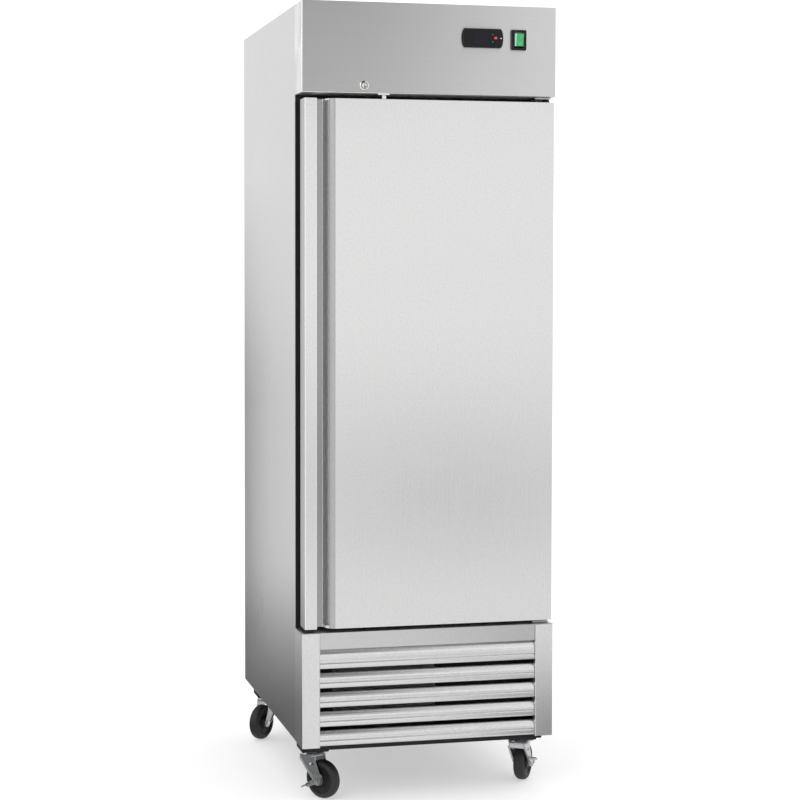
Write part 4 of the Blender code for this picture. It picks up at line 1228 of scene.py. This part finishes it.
def hinge_axis():
    joint = next(j for j in frame["joints"] if j["name"] == "door_hinge")
    return joint["pos_m"][:2]


def build_door_back():
    node = cad("door_inner_panel")
    front, back = node.y
    flat = front + 0.0015
    steps = [(0.0, front), (0.0, flat - 0.0004), (0.0005, flat), (0.0365, flat), (0.0385, flat + 0.0010)]
    steps += [
        (0.0415, back - 0.0012),
        (0.0440, back),
        (0.0720, back),
        (0.0735, back - 0.0014),
        (0.0760, back - 0.0014),
    ]
    steps += [(0.0775, back)]
    rings = [
        frame_ring(node.x, node.z, inset, 0.050 if inset > 0.03 else 0.002, y, 5) for inset, y in steps
    ]
    piece = Piece("door_inner_pan")
    piece.add(loft(rings), "aluminium")
    piece.place("door", "aluminium", "door_inner_panel")


def build_gasket():
    """A bellows gasket with a flat magnet face."""
    node = cad("door_gasket")
    base, face = node.y
    half = [
        (0.0040, base),
        (0.0030, base + 0.005),
        (0.0008, base + 0.009),
        (0.0006, base + 0.011),
        (0.0030, base + 0.014),
    ]
    half += [(0.0038, face - 0.0075), (0.0012, face - 0.0055), (0.0006, face - 0.0020), (0.0016, face)]
    profile = half + [(0.022 - inset, y) for inset, y in reversed(half)]
    rings = [frame_ring(node.x, node.z, inset, 0.004, y, 3) for inset, y in profile]
    piece = Piece("bellows_gasket")
    piece.add(loft(rings, joined=True), "gasket_rubber")
    piece.place("door", "gasket_rubber", "door_gasket", crease=50)


def build_hinges():
    pin = hinge_axis()
    door = cad("door_outer_panel")
    for name, side in (("upper", 1), ("lower", -1)):
        node = cad(f"{name}_hinge_bracket")
        seat = node.z[1] if side > 0 else node.z[0]
        plate_z = sorted((seat, seat - side * 0.004))
        loop = rectangle(node.x, (pin[1] - 0.012, node.y[1]))
        tip = node.z[0] if side > 0 else node.z[1]
        door_edge = door.z[1] if side > 0 else door.z[0]
        collar_end = door_edge + side * 0.0008
        height = abs(seat - tip)
        length = abs(seat - collar_end)
        stem = [(0.0, height), (0.0037, height), (0.0045, height - 0.001), (0.0045, length - 0.001)]
        stem.append((0.0, length - 0.001))
        collar = [
            (0.0, length), (0.0105, length), (0.0115, length - 0.001), (0.0075, 0.0025), (0.0, 0.0025)
        ]
        facing = Matrix.Rotation(math.pi, 4, "X") if side > 0 else ORIGIN
        turn = at(*pin, seat) @ facing
        piece = Piece(f"{name}_hinge")
        piece.add(extruded("XY", [rounded(loop, 0.006, 4)], *plate_z, 0.0006), "zinc")
        piece.add(turned(stem, 28), "zinc", turn)
        piece.add(turned(collar, 28), "black_frame", turn)
        for x in (node.x[0] + 0.009, node.x[0] + 0.022):
            for y in (node.y[1] - 0.010, node.y[1] - 0.034):
                screw(piece, (x, y, seat - side * 0.004), facing, 0.0038)
        piece.place("cabinet", "zinc", f"{name}_hinge_bracket")


# Casters

CASTERS = ("front_left", "front_right", "rear_left", "rear_right")
PEDAL_ANGLES = {"front_left": -27.0, "front_right": 30.0}
LEG_INNER, LEG_OUTER = 0.0195, 0.0225


def build_caster(name):
    """Work in the caster's own frame: X trails from the swivel axis to the wheel, and Z is up."""
    mount, wheel = cad(f"caster_plate_{name}"), cad(f"caster_wheel_{name}")
    swivel = Vector((middle(mount.x), middle(mount.y), 0.0))
    axle = Vector((middle(wheel.x), middle(wheel.y), 0.0)) - swivel
    radius = wheel.z[1] / 2
    heading = math.atan2(axle.y, axle.x)
    local = Matrix.Translation(swivel) @ Matrix.Rotation(heading, 4, "Z")
    build_caster_mount(name, mount, swivel)
    build_fork(name, local, axle.length, radius)
    build_wheel(name, local @ at(axle.length, 0.0, radius), radius)
    if name in PEDAL_ANGLES:
        swing = Matrix.Rotation(math.radians(PEDAL_ANGLES[name]), 4, "Y")
        build_pedal(name, local @ at(axle.length, 0.0, radius) @ swing)


def build_caster_mount(name, node, swivel):
    floor, top = node.z
    seat = floor + 0.0057
    piece = Piece(f"caster_mount_{name}")
    piece.add(block(node.x, node.y, (seat, top), 0.0030, 3), "black_paint")
    race = [
        (0.0, 0.0080),
        (0.0270, 0.0080),
        (0.0270, 0.0046),
        (0.0255, 0.0030),
        (0.0262, 0.0016),
        (0.0250, 0.0),
        (0.0, 0.0),
    ]
    piece.add(turned(race, 40), "zinc", at(swivel.x, swivel.y, floor))
    for x in shrunk(node.x, 0.010):
        for y in shrunk(node.y, 0.010):
            piece.add(hexagon(0.010, 0.0035), "zinc", at(x, y, seat - 0.0033))
    piece.place("cabinet", "black_paint", f"caster_plate_{name}")


def leg_outline(trail, radius):
    """One side of the fork: wide at the crown, and tapered to a round foot about the axle."""
    end = 0.0135
    foot = [
        (trail + end * math.cos(a), radius + end * math.sin(a)) for a in spaced(math.radians(-160), 0.0, 9)
    ]
    return foot + [(0.0270, 0.1000), (0.0262, 0.1130), (-0.0262, 0.1130), (-0.0262, 0.1040)]


def build_fork(name, local, trail, radius):
    piece = Piece(f"fork_{name}_stamped")
    crown = [
        (0.0, 0.1178),
        (0.0262, 0.1178),
        (0.0292, 0.1170),
        (0.0306, 0.1148),
        (0.0304, 0.1122),
        (0.0282, 0.1105),
    ]
    crown.append((0.0, 0.1105))
    piece.add(turned(crown, 40), "zinc", local)
    dust_ring = [(0.0262, 0.1178), (0.0280, 0.1178), (0.0280, 0.1160), (0.0262, 0.1160)]
    piece.add(turned(dust_ring, 40, closed=True), "zinc", local)
    leg = leg_outline(trail, radius)
    slot = rounded(rectangle(around(0.012, 0.016), around(0.0905, 0.0055)), 0.0026, 4)
    for side in (-1, 1):
        low, high = sorted((side * LEG_INNER, side * LEG_OUTER))
        turned_slot = [(u + 0.35 * (v - 0.0905), v) for u, v in slot]
        piece.add(extruded("XZ", [leg, turned_slot], low, high, 0.0005), "zinc", local)
        foot, crown_corner = Vector(leg[0]), Vector(leg[-1])
        add_edge_flange(piece, local, side, foot, crown_corner)
        piece.add(
            hexagon(0.0125, 0.0034 if side > 0 else 0.0024), "nickel", local @ axle_end(trail, radius, side)
        )
    web = [(-0.0262, 0.1125), (-0.0262, 0.1010), (-0.0240, 0.0990), (-0.0240, 0.1125)]
    piece.add(extruded("XZ", [web], -LEG_OUTER, LEG_OUTER, 0.0006), "zinc", local)
    pin = [(0.0, -LEG_OUTER), (0.0052, -LEG_OUTER), (0.0052, LEG_OUTER), (0.0, LEG_OUTER)]
    piece.add(turned(pin, 20), "nickel", local @ at(trail, 0.0, radius) @ FACING_BACK)
    piece.place(f"fork_{name}", "zinc", f"caster_fork_{name}")


def axle_end(trail, radius, side):
    """Where a nut sits on the outer face of a leg, turned to face outwards."""
    return at(trail, side * LEG_OUTER, radius) @ (FACING_BACK if side > 0 else FACING_FRONT)


def add_edge_flange(piece, local, side, low, high):
    """A folded rim that stiffens the leg's leading edge."""
    along = high - low
    length, slope = along.length, math.atan2(along.x, along.y)
    rim = block(
        (-0.0011, 0.0011), sorted((side * LEG_INNER, side * (LEG_OUTER + 0.0026))), (0.004, length), 0.0007
    )
    piece.add(rim, "zinc", local @ at(low.x, 0.0, low.y) @ Matrix.Rotation(slope, 4, "Y"))


def build_wheel(name, place, radius):
    """A rubber tyre on a moulded core, with bearing caps at the axle."""
    tyre = []
    for t in spaced(-1.0, 1.0, 13):
        crown = radius - 0.0026 * abs(t) ** 3.2
        tyre.append((crown, 0.0112 * t))
    tyre += [(radius - 0.0060, 0.0146), (radius - 0.0105, 0.0155), (radius - 0.0125, 0.0138)]
    tyre += [(radius - 0.0125, -0.0138), (radius - 0.0105, -0.0155), (radius - 0.0060, -0.0146)]
    core = [
        (radius - 0.0124, -0.0136),
        (radius - 0.0124, 0.0136),
        (radius - 0.0148, 0.0140),
        (radius - 0.0172, 0.0112),
    ]
    core += [(0.0190, 0.0098), (0.0172, 0.0118), (0.0165, 0.0150), (0.0068, 0.0160)]
    core += [(0.0068, -0.0160), (0.0165, -0.0150), (0.0172, -0.0118), (0.0190, -0.0098)]
    core += [(radius - 0.0172, -0.0112), (radius - 0.0148, -0.0140)]
    piece = Piece(f"wheel_{name}_tyre_and_core")
    upright = place @ FACING_BACK
    piece.add(turned(tyre, 64, closed=True), "tyre_rubber", upright)
    piece.add(turned(core, 48, closed=True), "hub_grey", upright)
    for side in (-1, 1):
        cap = [(0.0064, 0.0), (0.0120, 0.0), (0.0120, 0.0016), (0.0110, 0.0022), (0.0064, 0.0022)]
        flip = ORIGIN if side > 0 else Matrix.Rotation(math.pi, 4, "X")
        piece.add(turned(cap, 28, closed=True), "zinc", upright @ flip @ at(0.0, 0.0, 0.0150))
        for spoke in range(6):
            rib = block((0.0180, radius - 0.0170), around(0.0, 0.0024), (0.0092, 0.0116), 0.0006)
            piece.add(rib, "hub_grey", upright @ flip @ Matrix.Rotation(math.radians(60 * spoke), 4, "Z"))
    piece.place(f"wheel_{name}", "wheel_rubber", f"caster_wheel_{name}")


def build_pedal(name, place):
    """A side brake lever about the axle: boss, arm, a padded tread bent outwards and a release tab."""
    near, far = -0.0292, -0.0264
    root = 0.0085
    arm = [(-0.0300, -0.0062), (-0.0400, -0.0050), (-0.0400, 0.0050), (-0.0300, 0.0062)]
    arm += [(-root, 0.0070), (-root, -0.0070)]
    tab = [(root, 0.0005), (0.0200, 0.0012), (0.0236, 0.0040), (0.0220, 0.0105), (root, 0.0118)]
    tread_y = (near - 0.0186, near + 0.0004)
    pad_y = (tread_y[0], tread_y[1] - 0.0022)
    piece = Piece(f"brake_lever_{name}")
    ring = [circle(0.0, 0.0, 0.0125, 32), circle(0.0, 0.0, 0.0074, 24)]
    piece.add(extruded("XZ", ring, near, far, 0.0004), "zinc", place)
    piece.add(extruded("XZ", [arm], near, far, 0.0006), "zinc", place)
    piece.add(extruded("XZ", [rounded(tab, 0.002, 3)], near, far, 0.0006), "zinc", place)
    piece.add(block((-0.0410, -0.0270), tread_y, (-0.0016, 0.0000), 0.0006), "zinc", place)
    piece.add(block((-0.0414, -0.0264), pad_y, (-0.0002, 0.0018), 0.0008), "hub_grey", place)
    for x in spaced(-0.0390, -0.0288, 5):
        rib = block(around(x, 0.0010), shrunk(pad_y, 0.002), (0.0016, 0.0023), 0.0003)
        piece.add(rib, "hub_grey", place)
    piece.place(f"pedal_{name}", "zinc", f"brake_pedal_{name}")


def finish_cad_nodes():
    """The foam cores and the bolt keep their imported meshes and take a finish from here."""
    for node, finish in (
        ("cabinet_insulation", "foam"), ("door_insulation", "foam"), ("lock_bolt", "nickel")
    ):
        obj = frame["nodes"][node]
        for socket in obj.material_slots:
            socket.material = MATERIALS[finish]


# Studio

CAMERA_PLACE = (-1.316, -5.082, 1.405)
CAMERA_PITCH, CAMERA_TURN = 87.32, -12.49
CAMERA_LENS = 83.1
CAMERA_SHIFT = (0.093, -0.055)
SURROUNDINGS = 1.28
FLOOR_GLOW = 0.45


def build_camera():
    camera = bpy.data.cameras.new("camera")
    camera.lens = CAMERA_LENS
    camera.shift_x, camera.shift_y = CAMERA_SHIFT
    obj = bpy.data.objects.new("camera", camera)
    obj.location = CAMERA_PLACE
    obj.rotation_euler = (math.radians(CAMERA_PITCH), 0.0, math.radians(CAMERA_TURN))
    bpy.context.scene.collection.objects.link(obj)
    bpy.context.scene.camera = obj


def stage_plane(name, size, material, place=(0.0, 0.0, 0.0), aim=None):
    """A flat sheet that belongs to the studio; it faces up, or towards aim."""
    u, v = size[0] / 2, size[1] / 2
    mesh = bpy.data.meshes.new(name)
    mesh.from_pydata([(-u, -v, 0), (u, -v, 0), (u, v, 0), (-u, v, 0)], [], [(0, 1, 2, 3)])
    mesh.materials.append(material)
    obj = bpy.data.objects.new(name, mesh)
    obj.location = place
    if aim:
        obj.rotation_euler = (Vector(aim) - Vector(place)).to_track_quat("Z", "Y").to_euler()
    bpy.context.scene.collection.objects.link(obj)
    return obj


def build_floor():
    surface = Surface("floor_white", (0.52, 0.52, 0.52), 0.9)
    surface.tint(surface.noise(2.0), (0.51, 0.51, 0.51), (0.53, 0.53, 0.53))
    surface.shader.inputs["Emission Color"].default_value = (1.0, 1.0, 1.0, 1.0)
    surface.shader.inputs["Emission Strength"].default_value = FLOOR_GLOW
    stage_plane("floor", (60.0, 60.0), surface.material)


def dark_card(name, size, place, aim, darkness, fades):
    """A soft-edged dark card for the steel to reflect; nothing but a reflection shows it.

    fades are the widths over which it fades out at its left, right, bottom and top.
    """
    surface = Surface(name, (0.0, 0.0, 0.0), 1.0)
    nodes, links = surface.nodes, surface.links
    split = nodes.new("ShaderNodeSeparateXYZ")
    links.new(surface.place, split.inputs["Vector"])
    strength = None
    for axis, half, (first, last) in (("X", size[0] / 2, fades[:2]), ("Y", size[1] / 2, fades[2:])):
        place_on_axis = split.outputs[axis]
        for mask in (
            surface.between(place_on_axis, 0.0, 1.0, -half, first - half),
            surface.between(place_on_axis, 1.0, 0.0, half - last, half),
        ):
            strength = surface.product(strength, mask) if strength else surface.between(
                mask, 0.0, darkness, 0.0, 1.0
            )
    blend = nodes.new("ShaderNodeMixShader")
    links.new(strength, blend.inputs["Fac"])
    links.new(nodes.new("ShaderNodeBsdfTransparent").outputs["BSDF"], blend.inputs[1])
    black = nodes.new("ShaderNodeEmission")
    black.inputs["Strength"].default_value = 0.0
    links.new(black.outputs["Emission"], blend.inputs[2])
    links.new(blend.outputs["Shader"], nodes["Material Output"].inputs["Surface"])
    card = stage_plane(name, size, surface.material, place, aim)
    card.visible_camera = card.visible_diffuse = card.visible_shadow = card.visible_transmission = False


def build_cards():
    """What the steel reflects: the header is darker to its left, and the door and the side low down."""
    header = (-1.0, -0.4, 2.0)
    dark_card("high_front_card", (5.0, 6.0), (-0.95, -3.5, 4.7), header, 1.0, (0.5, 1.25, 0.6, 0.3))
    dark_card(
        "low_front_card", (1.6, 0.95), (0.95, -3.4, 0.47), (0.95, -0.4, 0.47), 0.42, (0.5, 0.3, 0.35, 0.45)
    )
    dark_card("floor_right_card", (1.2, 1.9), (0.85, -1.35, 0.004), None, 0.85, (0.3, 0.2, 1.3, 0.1))
    dark_card("floor_left_card", (1.8, 4.2), (-1.25, 1.2, 0.004), None, 0.85, (0.5, 0.05, 0.3, 2.7))
    dark_card(
        "behind_left_card",
        (0.20, 1.9),
        (-0.452, 0.55, 0.75),
        (-0.452, 0.0, 0.75),
        0.68,
        (0.15, 0.01, 0.5, 0.7),
    )


def area_light(name, place, aim, size, power):
    light = bpy.data.lights.new(name, "AREA")
    light.shape = "RECTANGLE"
    light.size, light.size_y = size
    light.energy = power
    obj = bpy.data.objects.new(name, light)
    obj.location = place
    obj.rotation_euler = (Vector(aim) - Vector(place)).to_track_quat("-Z", "Y").to_euler()
    bpy.context.scene.collection.objects.link(obj)


def build_lights():
    world = bpy.data.worlds.new("studio")
    world.use_nodes = True
    background = world.node_tree.nodes["Background"]
    background.inputs["Color"].default_value = (1.0, 1.0, 1.0, 1.0)
    background.inputs["Strength"].default_value = SURROUNDINGS
    bpy.context.scene.world = world
    bpy.context.scene.view_settings.view_transform = "Standard"
    area_light("key", (-2.6, -3.2, 3.6), (0.0, 0.0, 1.0), (2.4, 2.4), 40)


def main():
    make_materials()
    build_side_panels()
    build_top_panel()
    build_back_panel()
    build_door_surround()
    build_liner()
    build_header()
    build_lock()
    build_controller()
    build_switch()
    build_grille()
    build_tray()
    build_shade_baffle()
    build_finned_coil("condenser_fins", "condenser_coil", 9, 2, 70, 0.0042)
    build_shroud()
    build_fan("condenser_impeller", "condenser_fan")
    build_compressor()
    build_posts()
    for number in (1, 2, 3):
        build_shelf(number)
    build_evaporator_cover()
    build_finned_coil("evaporator_fins", "evaporator_coil", 6, 4, 60, 0.0045)
    build_fan("evaporator_impeller", "evaporator_fan")
    build_door_skin()
    build_door_back()
    build_gasket()
    build_hinges()
    for name in CASTERS:
        build_caster(name)
    finish_cad_nodes()
    build_floor()
    build_cards()
    build_lights()
    build_camera()


main()
